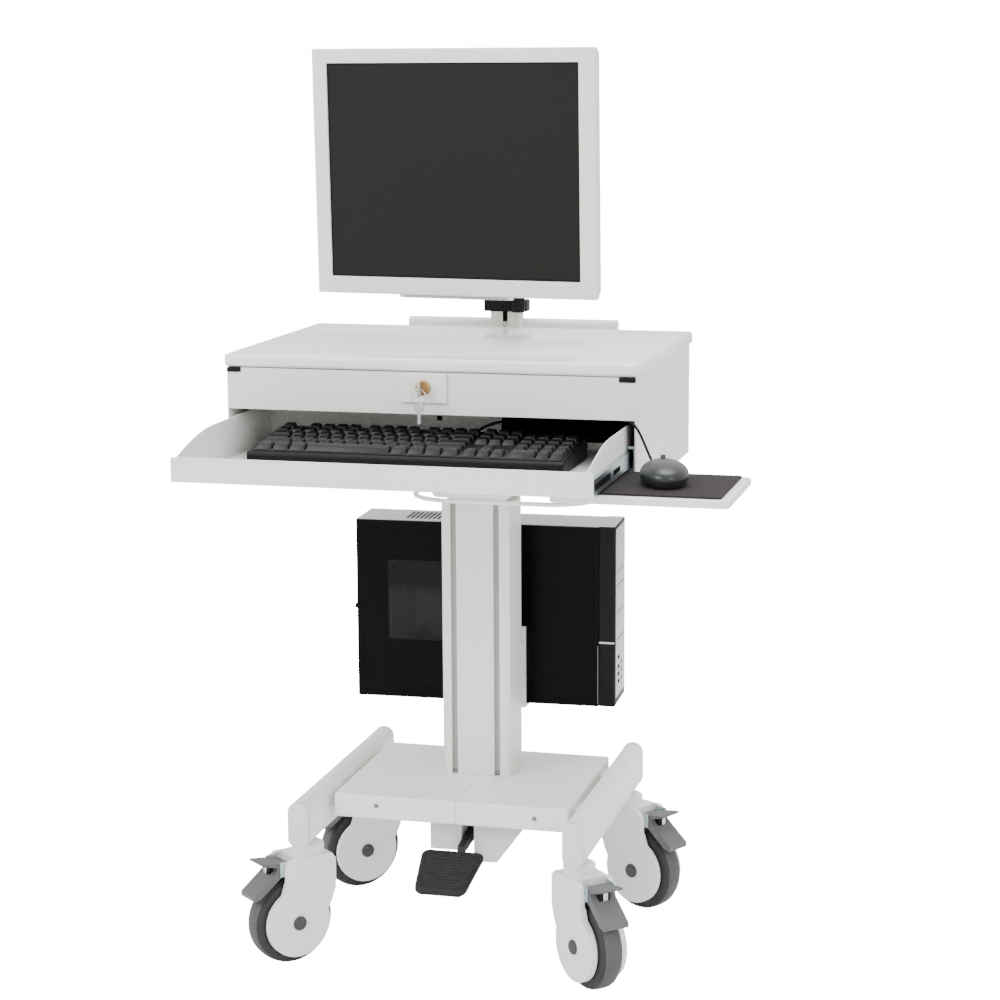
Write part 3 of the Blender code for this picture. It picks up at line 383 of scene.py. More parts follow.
# A round line along points, as a curve of one open spline.
def lineAlong(name, points, radius, body, material, stands=None, resolution=4):
    curve = bpy.data.curves.new(name, "CURVE")
    curve.dimensions = "3D"
    spline = curve.splines.new("POLY")
    spline.points.add(len(points) - 1)
    spline.points.foreach_set("co", np.concatenate([points, np.ones((len(points), 1))], 1).ravel())
    spline.use_smooth = True
    curve.bevel_depth = radius
    curve.bevel_resolution = resolution
    curve.use_fill_caps = True
    curve.materials.append(material)
    piece = bpy.data.objects.new(name, curve)
    bpy.context.scene.collection.objects.link(piece)
    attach(piece, body)
    if stands:
        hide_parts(stands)
    return piece


leads = {
    "keyboard": [(0.021, -0.1505, 0.7235), (0.023, -0.142, 0.7250), (0.034, -0.128, 0.7340),
                 (0.052, -0.116, 0.7410), (0.074, -0.104, 0.7430), (0.096, -0.092, 0.7415),
                 (0.114, -0.081, 0.7360), (0.124, -0.0765, 0.7250), (0.127, -0.0757, 0.7142)],
    "mouse": [(0.3030, -0.2360, 0.7085), (0.2975, -0.2260, 0.7090), (0.2880, -0.2190, 0.7135),
              (0.2812, -0.2150, 0.7250), (0.2750, -0.2130, 0.7380), (0.2690, -0.2122, 0.7500),
              (0.2622, -0.2110, 0.7588), (0.2562, -0.2060, 0.7612), (0.2540, -0.1930, 0.7612),
              (0.2535, -0.1500, 0.7610), (0.2530, -0.0500, 0.7605), (0.2500, 0.0500, 0.7600),
              (0.2440, 0.1200, 0.7590), (0.2250, 0.1580, 0.7550), (0.2060, 0.1720, 0.7515),
              (0.2000, 0.1830, 0.7500)],
    "radius": {"keyboard": 0.0019, "mouse": 0.00165}, "step": 0.004,
}


def makeLead(name, body):
    knots = [at(*p) for p in leads[name]]
    points, length = smoothLine(knots, leads["step"])
    radius = leads["radius"][name]
    piece = lineAlong(name + "_lead_smooth", points, radius, body, blackMoulded, name + "_lead")


makeLead("keyboard", "drawer")
makeLead("mouse", "head")
print("leads")


stageParts = {
    "size": 30.0, "grey": 0.92, "floorGlow": 15.0, "backdropGlow": 16.0, "sky": (1, 0.992, 0.978, 1),
    "skyStrength": 1.45,
    "lamps": {"key": ((-2.6, -3.2, 3.2), (0, 0, 0.7), 2.2, 170),
              "fill": ((3.2, -2.6, 2.2), (0, 0, 0.7), 2.4, 70),
              "top": ((0.2, 0.6, 3.6), (0, 0, 0.8), 2.0, 110)},
}


# The floor gives light only to the camera, so the object's own shading stays as the lamps make it.
def makeFloor():
    size, grey = stageParts["size"], stageParts["grey"]
    floor = bpy.data.objects.new("floor", bpy.data.meshes.new("floor"))
    floor.data.from_pydata([(x * size, y * size, 0) for x, y in ((-1, -1), (1, -1), (1, 1), (-1, 1))], [],
                           [(0, 1, 2, 3)])
    bpy.context.scene.collection.objects.link(floor)
    paper = bpy.data.materials.new("floorPaper")
    paper.use_nodes = True
    tree = paper.node_tree
    shader = tree.nodes["Principled BSDF"]
    shader.inputs["Base Color"].default_value = (grey, grey, grey, 1)
    shader.inputs["Roughness"].default_value = 0.9
    shader.inputs["Specular IOR Level"].default_value = 0.0
    glow = node(tree, "Emission", {"Color": (1, 1, 1, 1), "Strength": stageParts["floorGlow"]})
    seen = node(tree, "LightPath").outputs["Is Camera Ray"]
    lit = node(tree, "AddShader", {0: shader.outputs[0], 1: glow.outputs[0]})
    blend = node(tree, "MixShader", {0: seen, 1: shader.outputs[0], 2: lit.outputs[0]})
    tree.links.new(blend.outputs[0], tree.nodes["Material Output"].inputs["Surface"])
    floor.data.materials.append(paper)


# The same for the backdrop: bright to the camera, softer as a light.
def makeBackdrop():
    world = bpy.data.worlds.new("studio")
    world.use_nodes = True
    tree = world.node_tree
    light = tree.nodes["Background"]
    light.inputs["Color"].default_value = stageParts["sky"]
    light.inputs["Strength"].default_value = stageParts["skyStrength"]
    backdrop = node(tree, "Background", {"Color": (1, 1, 1, 1), "Strength": stageParts["backdropGlow"]})
    seen = node(tree, "LightPath").outputs["Is Camera Ray"]
    blend = node(tree, "MixShader", {0: seen, 1: light.outputs[0], 2: backdrop.outputs[0]})
    tree.links.new(blend.outputs[0], tree.nodes["World Output"].inputs["Surface"])
    bpy.context.scene.world = world


def makeLamp(name, spot, aim, size, power):
    lamp = bpy.data.objects.new(name, bpy.data.lights.new(name, "AREA"))
    lamp.data.size = size
    lamp.data.energy = power
    lamp.location = spot
    lamp.rotation_euler = (Vector(aim) - Vector(spot)).to_track_quat("-Z", "Y").to_euler()
    bpy.context.scene.collection.objects.link(lamp)


makeFloor()
makeBackdrop()
for name, facts in stageParts["lamps"].items():
    makeLamp(name, *facts)
print("stage")


casterParts = {"rimRadius": 0.0445, "treadRadius": 0.061, "half": 0.0160, "treadHalf": 0.0112}


def makeCaster(corner):
    roll = joints["roll_" + corner]
    centre, axis = np.array(roll["pos_m"]), np.array(roll["axis"])
    half, rim, tread = casterParts["half"], casterParts["rimRadius"], casterParts["treadRadius"]
    side = [(-0.0175, 0.0066), (-0.0175, 0.0180), (-0.0165, 0.0200), (-0.0120, 0.0220), (-0.0120, 0.0350),
            (-0.0160, 0.0380), (-half - 0.0005, rim - 0.0025), (-half - 0.0005, rim)]
    rimLine = side + [(-a, r) for a, r in reversed(side)]
    place(spun("wheel_rim_" + corner, rimLine + [rimLine[0]], centre, axis, 72), "wheel_" + corner,
          mouldedWhite, "wheel_" + corner)
    flank = [(-half, rim), (-half, 0.0530), (-0.0150, 0.0558), (-0.0118, 0.0590)]
    top = [(-0.0118, 0.0590), (-0.0085, 0.0603), (-0.0040, 0.0608), (0.0, tread)]
    top = top + [(-a, r) for a, r in reversed(top[:-1])]
    tyre = flank + top[1:] + [(-a, r) for a, r in reversed(flank)][1:]
    mesh = spun("tyre_" + corner, tyre + [tyre[0]], centre, axis, 96)
    piece = place(mesh, "wheel_" + corner, [tyreGrey, tyreDark])
    co = np.zeros(len(mesh.polygons) * 3)
    mesh.polygons.foreach_get("center", co)
    along = np.abs((co.reshape(-1, 3) - centre) @ axis)
    mesh.polygons.foreach_set("material_index", (along > casterParts["treadHalf"]).astype(int))
    softCopy("caster_fork_" + corner, "caster_" + corner, mouldedWhite, 0.0025)
    softCopy("axle_" + corner, "caster_" + corner, greyMoulded, 0.0008, 2)
    softCopy("brake_pedal_" + corner, "brake_" + corner, housingGrey, 0.0014, 2)


for corner in ("front_left", "front_right", "rear_right", "rear_left"):
    makeCaster(corner)
print("casters")


keptFinish = {
    "base_cover": powderWhite, "side_rail_left": powderWhite, "side_rail_right": powderWhite,
    "column_outer": lacquered, "column_mast": lacquered, "gas_spring_tube": blackMoulded,
    "gas_spring_rod": steelPlate, "top_bracket": powderWhite, "box_body": panelWhite,
    "keyboard_tray": panelWhite, "slide_inner_left": zincPlate, "slide_inner_right": zincPlate,
    "slide_outer_left": zincPlate, "slide_outer_right": zincPlate, "mouse_tray_wire": powderWhite,
    "monitor_post": lacquered, "rear_handle": powderWhite, "tilt_head": greyMoulded,
    "monitor_screen": screenPanel, "pc_case": caseSteel, "pc_side_panel": blackGloss, "pc_holder": powderWhite,
    "pc_power_button": steelPlate, "key_ring": steelPlate, "mouse_wheel": padRubber, "mouse_mat": matWeave,
}
for name, material in keptFinish.items():
    nodes[name].data.materials.clear()
    nodes[name].data.materials.append(material)

softCopy("lid", "lid", lidWhite, 0.0025)
softCopy("mouse_tray", "mouse_board", mouldedWhite, 0.0012, 2)
softCopy("pedal_housing", "base", capWhite, 0.004, 3)
softCopy("monitor_arm", "monitor_arm", powderWhite, 0.0015, 2)
softCopy("clamp_collar", "head", blackMoulded, 0.0010, 2)
softCopy("clamp_lever", "clamp_lever", blackMoulded, 0.0010, 2)
softCopy("monitor_back", "monitor", bezelWhite, 0.0040, 3)
softCopy("monitor_bezel", "monitor", bezelWhite, 0.0015, 3)
softCopy("pc_front_bezel", "base", blackMoulded, 0.0010, 2)
print("kept nodes")


# Turns a mesh about Z by degrees and moves it to a point of the cart's plan.
def moved(mesh, origin, turn=0.0):
    mesh.transform(Matrix.Translation(at(*origin)) @ Matrix.Rotation(math.radians(turn), 4, "Z"))
    return mesh


def box(name, x0, x1, y0, y1, z0, z1, corner=0.0, edge=0.0004):
    return slab(name, (x0, y0, z0), (x1, y1, z1), corner, edge, steps=4)


# Loose meshes of the cart's plan as one piece on a body.
def planPiece(name, meshes, body, material, stands=None, smooth=40.0, origin=(0, 0, 0), turn=0.0):
    return place(moved(joined(name, meshes), origin, turn), body, material, stands, smooth)


# Four bars around an opening in an upright face; shy shortens the upright ones at both ends.
def barsAround(left, right, low, high, width, proud, shy=0.0):
    return [box("edge", left, right, -proud, proud, high - width, high),
            box("edge", left, right, -proud, proud, low, low + width),
            box("edge", left, left + width, -proud, proud, low + shy, high - shy),
            box("edge", right - width, right, -proud, proud, low + shy, high - shy)]


# An outline pushed along an axis; for x the outline is (y, z), for y it is (x, z).
def extruded(name, outline, a, b, axis):
    flat = np.array(outline, float)
    rows = []
    for level in (a, b):
        fixed = np.full((len(flat), 1), level)
        rows.append(np.hstack([fixed, flat] if axis == "x" else [flat[:, :1], fixed, flat[:, 1:]]))
    return fromGrid(np.array(rows), name, closeAcross=True, caps=True)


casterPlaces = {
    "front_left": (-0.192, -0.221, 229.0), "front_right": (0.192, -0.221, -47.0),
    "rear_right": (0.192, 0.100, -28.5), "rear_left": (-0.192, 0.100, 223.5),
}


brakeParts = {"earX": (0.036, 0.0560), "earY": 0.0203, "earHalf": 0.0005, "earZ": (0.1290, 0.1500),
              "pin": (0.0465, 0.0210, 0.1400), "latchX": (0.0560, 0.0665), "latchHalf": 0.0085,
              "latchZ": (0.1310, 0.1445), "clipX": (0.0662, 0.0690), "clipHalf": 0.0035,
              "clipZ": (0.1320, 0.1430)}


def makeCasterDetails(corner, x, y, heading):
    facts = brakeParts
    where = {"origin": (x, y, 0), "turn": heading}
    pinX, pinY, pinZ = facts["pin"]
    ears = [box("ear", *facts["earX"], side * facts["earY"] - facts["earHalf"],
                side * facts["earY"] + facts["earHalf"], *facts["earZ"], 0.0, 0.0003) for side in (-1, 1)]
    pins = [spun("pin", [(-0.0004, 0), (-0.0004, 0.0030), (0.0004, 0.0034), (0.0004, 0)],
                 (pinX, side * pinY, pinZ), (0, side, 0), 20) for side in (-1, 1)]
    planPiece("brake_ears_" + corner, ears + pins, "caster_" + corner, zincPlate, **where)
    latch = box("latch", *facts["latchX"], -facts["latchHalf"], facts["latchHalf"], *facts["latchZ"], 0.0,
                0.0008)
    planPiece("brake_latch_" + corner, [latch], "brake_" + corner, blackMoulded, **where)
    clip = box("clip", *facts["clipX"], -facts["clipHalf"], facts["clipHalf"], *facts["clipZ"], 0.0,
               0.0005)
    planPiece("brake_clip_" + corner, [clip], "brake_" + corner, steelPlate, **where)


for corner, facts in casterPlaces.items():
    makeCasterDetails(corner, *facts)
print("caster details")


baseParts = {"railX": 0.192, "capRadius": 0.0152, "railEnds": (-0.2625, 0.1425), "railLevels": (0.1818, 0.2172),
             "seamX": 0.008, "seamHalf": 0.0003, "seamZ": (0.1905, 0.2225), "top": 0.2230, "topRear": -0.0495,
             "screws": ((-0.106, 0.209), (0.1195, 0.207)), "front": -0.179}
grooveParts = {"x": (-0.0285, 0.0335), "half": 0.0036, "stripY": (-0.0432, -0.0426), "z": (0.2238, 0.6140),
               "markY": (-0.0436, -0.0433), "markHeight": 0.006}


def makeRailCaps():
    low, high = baseParts["railLevels"]
    radius = baseParts["capRadius"]
    steps = 17
    turn = np.radians(np.concatenate([np.linspace(0, 180, steps), np.linspace(180, 360, steps)]))
    rise = np.repeat((high, low), steps)
    for side, sign in (("left", -1), ("right", 1)):
        for end, (face, inward) in zip(("front", "rear"), zip(baseParts["railEnds"], (1, -1))):
            rows = []
            for pull, back in ((0.0042, 0.0), (0.0020, 0.0003), (0.0006, 0.0014), (0.0, 0.0032), (0.0, 0.0090)):
                r = radius - pull
                rows.append(np.stack([sign * baseParts["railX"] + r * np.cos(turn),
                                      np.full(2 * steps, face + inward * back), rise + r * np.sin(turn)], 1))
            mesh = fromGrid(np.array(rows), "rail_cap_" + side + "_" + end, closeAcross=True, caps=True)
            place(moved(mesh, (0, 0, 0)), "base", capWhite)


def makeCoverDetails():
    facts = baseParts
    front, seam, half, top = facts["front"], facts["seamX"], facts["seamHalf"], facts["top"]
    lines = [box("seam", seam - half, seam + half, front - 0.0002, front + 0.001, *facts["seamZ"]),
             box("seam", seam - half, seam + half, front, facts["topRear"], top, top + 0.0006)]
    planPiece("cover_seam", lines, "base", seamGrey)
    head = [(0.0, 0), (0.0004, 0.0012), (0.0013, 0.0022), (0.0015, 0.0028), (0.0004, 0.0034), (-0.0006, 0.0034),
            (-0.0006, 0)]
    heads = [spun("screw", head, (x, front, z), (0, -1, 0), 24) for x, z in facts["screws"]]
    planPiece("cover_screws", heads, "base", darkSteelAndShade)


def makeColumnDetails():
    facts = grooveParts
    half, (low, high) = facts["half"], facts["z"]
    strips = [box("strip", x - half, x + half, *facts["stripY"], low, high) for x in facts["x"]]
    planPiece("column_strips", strips, "base", stripGrey)
    # painted shade: a small dark patch at the foot of each groove, where the groove runs into the base cover
    marks = [box("mark", x - half, x + half, *facts["markY"], low, low + facts["markHeight"])
             for x in facts["x"]]
    planPiece("column_groove_foot_shade", marks, "base", darkSteelAndShade)


makeRailCaps()
makeCoverDetails()
makeColumnDetails()
print("base details")


pedalParts = {"axis": (0.0172, -0.085, 0.166), "shift": -0.006, "rear": (-0.049, 0.041),
              "front": (-0.038, 0.032), "ends": (-0.100, -0.182), "slope": 0.38125, "thick": 0.009,
              "corner": 0.011, "rib": 0.0056, "ribHeight": 0.0007, "across": 24}


# Pad: half-ellipse corners, ribs across as a raised sine; lever: the same profile as the solid's.
def makePedal():
    facts = pedalParts
    rearY, frontY = facts["ends"]
    t = np.concatenate([np.linspace(0, 0.14, 14), np.linspace(0.14, 0.86, 120)[1:],
                        np.linspace(0.86, 1, 14)[1:]])
    y = rearY + (frontY - rearY) * t
    left = facts["rear"][0] + (facts["front"][0] - facts["rear"][0]) * t + facts["shift"]
    right = facts["rear"][1] + (facts["front"][1] - facts["rear"][1]) * t + facts["shift"]
    near = np.minimum(rearY - y, y - frontY)
    corner = facts["corner"]
    pull = corner - np.sqrt(np.maximum(corner ** 2 - np.maximum(corner - near, 0) ** 2, 0))
    left, right = left + pull, right - pull
    across = np.linspace(0, 1, facts["across"])
    edge = np.minimum(across, 1 - across) * (right - left)[:, None]
    fall = -0.0022 * np.exp(-np.minimum(edge, near[:, None]) / 0.0012)
    ribs = facts["ribHeight"] * np.sin(2 * np.pi * y / facts["rib"])[:, None] * np.clip(edge / 0.004, 0, 1)
    x = left[:, None] + (right - left)[:, None] * across
    top = -0.0097 + (y - rearY)[:, None] * facts["slope"] + ribs + fall
    under = -0.0090 + (y - rearY)[:, None] * facts["slope"] - facts["thick"] - fall
    rows = np.repeat(y[:, None], facts["across"], 1)
    upper = np.stack([x, rows, top], -1)
    lower = np.stack([x[:, ::-1], rows, under[:, ::-1]], -1)
    pad = fromGrid(np.concatenate([upper, lower], 1), "pad", closeAcross=True, caps=True)
    lever = extruded("lever", [(0.010, -0.009), (0.013, 0.0), (0.008, 0.010), (-0.020, 0.011), (-0.098, -0.004),
                               (-0.104, -0.014), (-0.020, -0.007)], -0.005, 0.005, "x")
    planPiece("foot_pedal_fine", [pad, lever], "pedal", padRubber, "foot_pedal", origin=facts["axis"])


makePedal()
print("pedal")


keyboardParts = {"x": (-0.240, 0.188), "y": (-0.298, -0.152), "front": 0.7208, "rear": 0.7348, "unit": 0.0185,
                 "rowStart": -0.286, "rowPitch": 0.0203, "functionRow": (-0.1795, -0.162), "lift": 0.0068,
                 "side": 0.0080, "navGap": 0.27, "padGap": 0.54, "lampX": (0.128, 0.146, 0.164),
                 "lampWidth": 0.004}


# Rows of (start, width) in key units, front to back, and the function row.
def keyRows():
    def run(widths, start=0.0):
        keys, x = [], start
        for width in widths:
            if width > 0:
                keys.append((x, width))
            x += abs(width)
        return keys
    nav, pad = 15.0 + keyboardParts["navGap"], 18.0 + keyboardParts["padGap"]
    rows = [run([1.25, 1.25, 1.25, 6.25, 1.25, 1.25, 1.25, 1.25]) + run([1, 1, 1], nav) + run([2, 1, 1], pad),
            run([2.25] + [1] * 10 + [2.75]) + run([-1, 1], nav) + run([1, 1, 1, 1], pad),
            run([1.75] + [1] * 11 + [2.25]) + run([1, 1, 1, 1], pad),
            run([1.5] + [1] * 12 + [1.5]) + run([1, 1, 1], nav) + run([1, 1, 1, 1], pad),
            run([1] * 13 + [2]) + run([1, 1, 1], nav) + run([1, 1, 1, 1], pad)]
    function = run([1, -1] + [1] * 4 + [-0.5] + [1] * 4 + [-0.5] + [1] * 4) + run([1, 1, 1], nav)
    return rows, function


# A tapered cap with a dished top: five rounded rectangles, each a little smaller than the one below.
def keycap(x0, x1, y0, y1, lift, slope, base):
    turn = np.radians(np.arange(12) // 3 * 90 + np.tile((0, 45, 90), 4))
    quarter = np.repeat(np.array([(1, 1), (0, 1), (0, 0), (1, 0)]), 3, axis=0)
    rows = []
    for up, side, back, front in ((0, 0.0008, 0.0008, 0.0008), (0.35, 0.0014, 0.0010, 0.0018),
                                  (0.86, 0.0026, 0.0016, 0.0036), (1.0, 0.0034, 0.0024, 0.0044),
                                  (0.93, 0.0052, 0.0042, 0.0062)):
        low, high, corner = np.array((x0 + side, y0 + front)), np.array((x1 - side, y1 - back)), 0.0009
        centre = np.where(quarter == 1, high - corner, low + corner)
        xy = centre + corner * np.stack([np.cos(turn), np.sin(turn)], -1)
        z = base + (xy[:, 1] - keyboardParts["y"][0]) * slope + lift * up
        rows.append(np.column_stack([xy, z]))
    return np.array(rows)


def makeKeyboard():
    facts = keyboardParts
    (x0, x1), (y0, y1) = facts["x"], facts["y"]
    slope = (facts["rear"] - facts["front"]) / (y1 - y0)
    rows, function = keyRows()
    unit, start = facts["unit"], x0 + facts["side"]
    caps = []
    for number, keys in enumerate(rows):
        front = facts["rowStart"] + number * facts["rowPitch"]
        caps += [(start + x * unit, start + (x + width) * unit, front, front + facts["rowPitch"])
                 for x, width in keys]
    caps += [(start + x * unit, start + (x + width) * unit, *facts["functionRow"]) for x, width in function]
    meshes = [fromGrid(keycap(*cap, facts["lift"], slope, facts["front"]), "cap", closeAcross=True, caps=True)
              for cap in caps]
    deck = extruded("deck", [(y0 + 0.007, facts["front"] + 0.0005), (y1 - 0.006, facts["rear"] - 0.0005),
                             (y1 - 0.006, facts["rear"] + 0.0002), (y0 + 0.007, facts["front"] + 0.0012)],
                    x0 + 0.006, x1 - 0.006, "x")
    planPiece("keys_fine", meshes + [deck], "drawer", keyBlack, "keyboard_keys", smooth=30)
    lamps = [box("lamp", x, x + facts["lampWidth"], -0.172, -0.170, 0.7335, 0.7342) for x in facts["lampX"]]
    planPiece("keyboard_lamps", lamps, "drawer", steelPlate)


makeKeyboard()
softCopy("keyboard_case", "drawer", blackMoulded, 0.0030, 3)
print("keyboard")


mouseParts = {"place": (0.317, -0.290, 0.6986), "turn": 14.0, "half": (0.0310, 0.0540), "rise": 0.0190}


# A flattened ball, its split a shallow valley down the middle and its wheel well a deeper one.
def makeMouse():
    halfX, halfY = mouseParts["half"]
    level = np.linspace(0, 1, 40)
    turn = np.linspace(0, 2 * np.pi, 160, endpoint=False)
    ring = np.cos(level * np.pi / 2)[:, None]
    up = np.sin(level * np.pi / 2)[:, None]
    y = halfY * ring * np.sin(turn)
    x = halfX * ring * np.cos(turn) * (1 - 0.08 * ring * np.sin(turn))
    z = 0.0105 + mouseParts["rise"] * up ** 0.78 + 0 * turn
    ahead = 1 / (1 + np.exp(-(y - 0.004) / 0.0006))
    z = z - 0.0012 * np.exp(-(x / 0.0005) ** 2) * ahead * up
    wellAcross = 1 / (1 + np.exp((np.abs(x) - 0.0036) / 0.0002))
    wellAlong = 1 / (1 + np.exp((np.abs(y - 0.026) - 0.0120) / 0.0003))
    z = z - 0.0100 * wellAcross * wellAlong * up
    z = z - 0.0007 * np.exp(-((y - 0.004 - 12 * x ** 2) / 0.0005) ** 2) * up
    shell = np.stack([x, y, z], -1)
    skirtLine = ((0.80, 0.0002), (0.84, 0.0008), (0.90, 0.0035), (0.955, 0.0065), (0.99, 0.0090))
    skirt = np.array([np.stack([x[0] * k, y[0] * (0.5 + 0.5 * k), 0 * turn + h], -1) for k, h in skirtLine])
    mesh = fromGrid(np.concatenate([skirt, shell]), "mouse_fine", closeAcross=True, caps=True)
    place(moved(mesh, mouseParts["place"], mouseParts["turn"]), "head", mouseGrey, "mouse_body", smooth=50)


makeMouse()
print("mouse")


boxParts = {"front": -0.207, "corner_blocks": ((-0.2983, -0.2787), (0.2414, 0.2633)),
            "corner_block_z": (0.8135, 0.8200), "lock": (-0.0215, -0.207, 0.8000), "bayX": (-0.290, 0.255),
            "bayRear": 0.1800, "roofX": (0.040, 0.2540), "bayZ": (0.664, 0.7630)}


# Black blocks at the front corners, and black skins that close the bay behind the drawer: painted shade for the
# bay's shadowed interior.
def makeBoxDetails():
    facts = boxParts
    front, rear = facts["front"], facts["bayRear"]
    # black blocks at the two front corners, at the lid line
    corner_blocks = [box("corner_block", *across, front - 0.0024, front + 0.0004, *facts["corner_block_z"], 0.0, 0.0008)
               for across in facts["corner_blocks"]]
    planPiece("lid_corner_blocks", corner_blocks, "head", blackMoulded)
    # painted shade: black back, roof, floor and side wall inside the bay, where the real interior only lies in
    # shadow
    bay = [box("back", *facts["bayX"], rear + 0.0006, rear + 0.0020, *facts["bayZ"]),
           box("roof", *facts["roofX"], front + 0.012, rear, 0.7628, 0.7633),
           box("floor", *facts["bayX"], -0.0600, rear, 0.6627, 0.6632),
           box("wall", 0.2608, 0.2615, front + 0.006, rear, 0.7330, 0.7620)]
    planPiece("bay_painted_shade", bay, "head", slotAndShadeBlack)


def makeLock():
    spot = boxParts["lock"]
    profile = [(0.0106, 0), (0.0106, 0.0050), (0.0099, 0.0056), (0.0099, 0.0064), (0.0106, 0.0070),
               (0.0104, 0.0088), (0.0095, 0.0097), (0.0052, 0.0098), (0.0052, 0.0064), (-0.0128, 0.0064),
               (-0.0128, 0)]
    barrel = spun("barrel", profile, (0, 0, 0), (0, -1, 0), 48)
    cam = box("cam", -0.005, 0.005, 0.0100, 0.0125, -0.0060, 0.0140)
    planPiece("lock_fine", [barrel, cam], "lock", brassWorn, "lock_cylinder", smooth=35, origin=spot)
    slot = box("slot", -0.0007, 0.0007, -0.0108, -0.0100, -0.0040, 0.0040)
    planPiece("lock_slot", [slot], "lock", slotAndShadeBlack, origin=spot)
    softCopy("lock_key", "lock", steelPlate, 0.0005, 2)
    softCopy("lock_plate", "head", powderWhite, 0.0008, 2)


drawerParts = {"linerX": (-0.2830, 0.2480), "linerY": (-0.4290, -0.0780), "linerZ": (0.7027, 0.70285),
               "holeX": (-0.0415, -0.0342), "holeY": (-0.0772, -0.0763), "holeZ": (0.7360, 0.7422),
               "slideFace": {"left": (-0.2909, -1), "right": (0.2559, 1)}, "slotDepth": 0.0004,
               "slots": ((-0.4160, -0.3300, 0.7080, 0.7160), (-0.3080, -0.2700, 0.7090, 0.7150))}


def makeDrawerDetails():
    facts = drawerParts
    liner = box("liner", *facts["linerX"], *facts["linerY"], *facts["linerZ"])
    planPiece("tray_liner", [liner], "drawer", trayLaminate)
    hole = box("hole", *facts["holeX"], *facts["holeY"], *facts["holeZ"], 0.0008)
    planPiece("tray_hole", [hole], "drawer", slotAndShadeBlack)
    for side, (face, out) in facts["slideFace"].items():
        across = sorted((face, face + out * facts["slotDepth"]))
        slots = [box("slot", *across, *slot, 0.0, 0.0001) for slot in facts["slots"]]
        planPiece("slide_slots_" + side, slots, "drawer", slotAndShadeBlack)


makeBoxDetails()
makeLock()
makeDrawerDetails()
print("box and drawer details")


monitorParts = {"centre": (-0.049, 0.040, 1.0725), "yaw": -5.77, "tilt": 1.75, "tiltBack": 0.060,
                "strip": (-0.0790, 0.0800), "stripZ": (-0.1793, -0.1753), "buttons": 7, "buttonHalf": 0.0028,
                "buttonZ": (-0.1785, -0.1766), "picture": (0.1880, 0.1504), "gasket": 0.0012,
                "gasketProud": 0.0004, "ventLine": 0.0030, "rowVents": 9, "columnVents": 31,
                "screwX": (-0.050, 0.050), "screwZ": (-0.0500, 0.0300)}


# From the screen's own axes (right, into the screen, up; 0 at the picture's middle) to the frame.
def screenFrame(mesh):
    yaw, tilt = math.radians(monitorParts["yaw"]), math.radians(monitorParts["tilt"])
    back = monitorParts["tiltBack"]
    turned = Matrix.Rotation(yaw, 4, "Z")
    pivot = at(*monitorParts["centre"]) + turned @ Vector((0, back, 0))
    mesh.transform(Matrix.Translation(pivot) @ turned @ Matrix.Rotation(tilt, 4, "X")
                   @ Matrix.Translation((0, -back, 0)))
    return mesh


def screenPiece(name, meshes, material):
    return place(screenFrame(joined(name, meshes)), "monitor", material)


def makeMonitorFront():
    facts = monitorParts
    left, right = facts["strip"]
    screenPiece("button_strip", [box("strip", left, right, -0.0001, 0.0082, *facts["stripZ"], 0.0, 0.0006)],
                stripGrey)
    half = facts["buttonHalf"]
    buttons = [box("button", x - half, x + half, -0.0005, 0.0010, *facts["buttonZ"], 0.0, 0.0003)
               for x in np.linspace(0.012, right - 0.008, facts["buttons"])]
    screenPiece("monitor_buttons", buttons, darkSteelAndShade)
    halfWidth, halfHeight = facts["picture"]
    rim = barsAround(-halfWidth, halfWidth, -halfHeight, halfHeight, facts["gasket"], facts["gasketProud"],
                     0.0004)
    screenPiece("screen_gasket", rim, slotAndShadeBlack)


def makeMonitorBack():
    facts = monitorParts
    line = facts["ventLine"]
    vents = [box("vent", -0.085, 0.087, 0.0428, 0.0434, z, z + line)
             for z in np.linspace(0.045, 0.085, facts["rowVents"])]
    vents += [box("vent", x, x + line, 0.0298, 0.0304, -0.150, -0.118)
              for x in np.linspace(-0.150, 0.150, facts["columnVents"])]
    screenPiece("back_vents", vents, slotAndShadeBlack)
    head = [(0.0004, 0), (0.0012, 0.0015), (0.0016, 0.0040), (-0.0005, 0.0046), (-0.0005, 0)]
    screws = [spun("screw", head, (x, 0.0430, z), (0, 1, 0), 24)
              for x in facts["screwX"] for z in facts["screwZ"]]
    screenPiece("back_screws", screws, darkSteelAndShade)
    planPiece("post_slot", [box("slot", -0.0190, -0.0130, 0.2031, 0.2037, 0.8440, 0.8640)], "head", slotAndShadeBlack)


makeMonitorFront()
makeMonitorBack()
print("monitor details")


computerParts = {"place": (0.0025, 0.0726), "turn": 2.27, "x": (-0.2099, 0.1746), "split": 0.1500,
                 "y": (0.0, 0.0868), "z": (0.2997, 0.5647), "window": (-0.1630, -0.0450, 0.3870, 0.5060),
                 "rim": 0.0016, "finWidth": 0.0014, "finPitch": 0.0042, "portZ": (0.330, 0.341, 0.352, 0.366),
                 "driveZ": (0.3960, 0.4360, 0.4760, 0.4960), "jackZ": (0.333, 0.345, 0.357), "hole": 0.0042,
                 "holePitch": 0.0066, "rearSlots": 6}


def onCase(name, meshes, material):
    facts = computerParts
    return planPiece(name, meshes, "base", material, origin=(*facts["place"], 0.0), turn=facts["turn"])


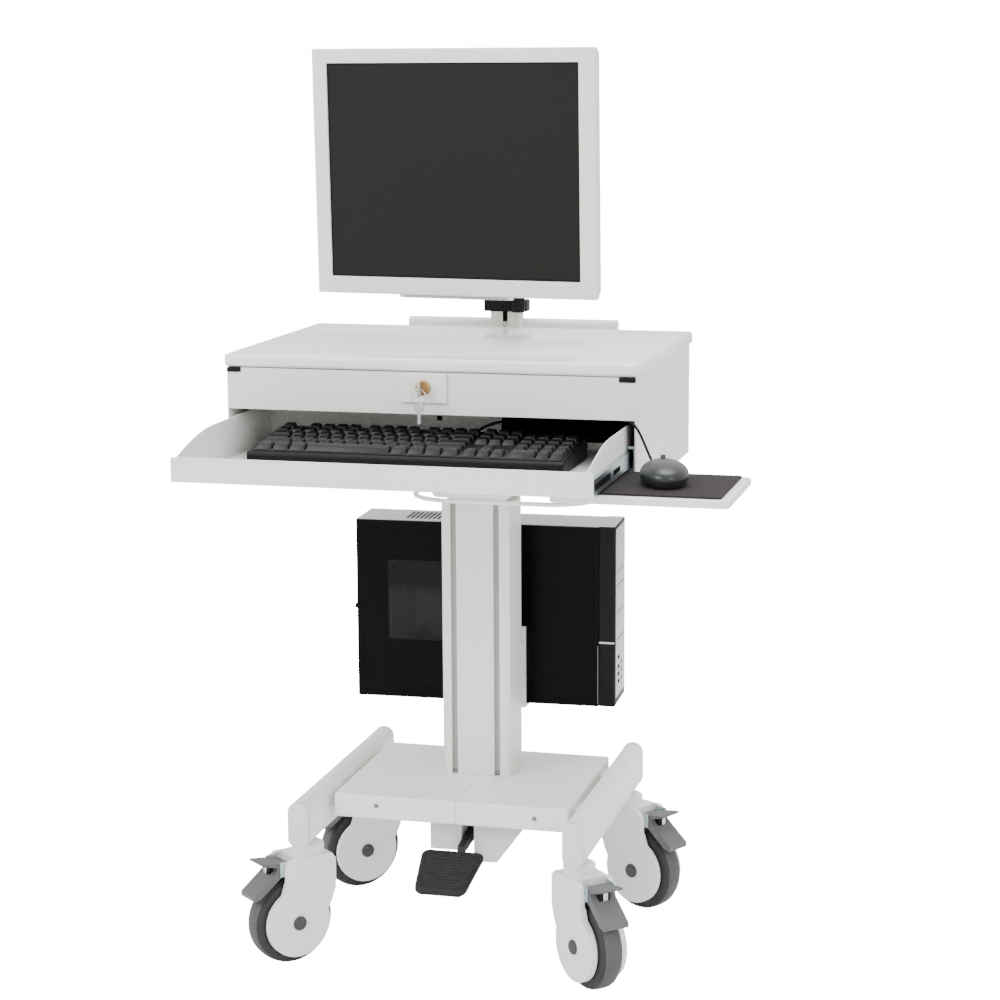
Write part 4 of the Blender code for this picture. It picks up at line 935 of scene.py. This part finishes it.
def makeComputerSide():
    facts = computerParts
    (x0, x1), (y0, y1), (z0, z1) = facts["x"], facts["y"], facts["z"]
    split, rim = facts["split"], facts["rim"]
    left, right, low, high = facts["window"]
    onCase("window_edge", barsAround(left, right, low, high, rim, 0.0003), blackMoulded)
    onCase("window_glass", [box("glass", left + rim, right - rim, -0.0002, 0.0002, low + rim, high - rim)],
           windowDark)
    fins = [box("fin", x, x + facts["finWidth"], -0.0004, 0.0002, low + 0.006, high - 0.004)
            for x in np.arange(left + 0.006, left + 0.040, facts["finPitch"])]
    onCase("window_fins", fins, blackMoulded)
    onCase("bezel_seam", [box("seam", split - 0.0012, split - 0.0002, -0.0003, 0.0004, z0 + 0.004, 0.3900)],
           darkSteelAndShade)
    onCase("bezel_top", [box("top", split + 0.0006, x1 - 0.0012, y0 + 0.0012, y1 - 0.0012, z1 + 0.0006,
                             z1 + 0.0012)], caseSteel)
    onCase("bezel_line", [box("line", split + 0.0010, x1 - 0.0012, -0.0004, 0.0004, 0.3935, 0.3965)],
           steelPlate)


def makeComputerFront():
    facts = computerParts
    face, (y0, y1), (z0, z1) = facts["x"][1], facts["y"], facts["z"]
    onCase("front_strip", [box("strip", face - 0.0003, face + 0.0006, y0 + 0.006, y1 - 0.006, z0 + 0.012,
                               z1 - 0.004, 0.0, 0.0004)], frontSilver)
    rows = [box("port", face + 0.0004, face + 0.0009, y0 + 0.020, y0 + 0.034, z, z + 0.0055)
            for z in facts["portZ"]]
    rows += [box("drive", face + 0.0004, face + 0.0009, y0 + 0.012, y1 - 0.012, z, z + 0.0012)
             for z in facts["driveZ"]]
    onCase("front_ports", rows, slotAndShadeBlack)
    ring = [(0.0004, 0), (0.0004, 0.0020), (0.0010, 0.0026), (0.0010, 0.0036), (0.0002, 0.0040), (0.0, 0)]
    jacks = [spun("jack", ring, (face + 0.0004, y0 + 0.050, z), (1, 0, 0), 24) for z in facts["jackZ"]]
    onCase("front_jacks", jacks, darkSteelAndShade)


def makeComputerTopAndRear():
    facts = computerParts
    rear, top, size, pitch = facts["x"][0], facts["z"][1], facts["hole"], facts["holePitch"]
    holes = [box("hole", x, x + size, y, y + size, top - 0.0001, top + 0.0003, 0.0012, 0.0001)
             for x in np.arange(-0.140, -0.082, pitch) for y in np.arange(0.020, 0.070, pitch)]
    onCase("top_holes", holes, slotAndShadeBlack)
    onCase("side_tab", [box("tab", rear - 0.0052, rear + 0.0010, 0.0060, 0.0200, 0.4300, 0.4360, 0.0, 0.0006)],
           blackMoulded)
    back = [box("plate", rear - 0.0006, rear - 0.0001, 0.012, 0.070, z, z + 0.010)
            for z in np.linspace(0.32, 0.42, facts["rearSlots"])]
    onCase("rear_slots", back, darkSteelAndShade)


makeComputerSide()
makeComputerFront()
makeComputerTopAndRear()
print("computer details")
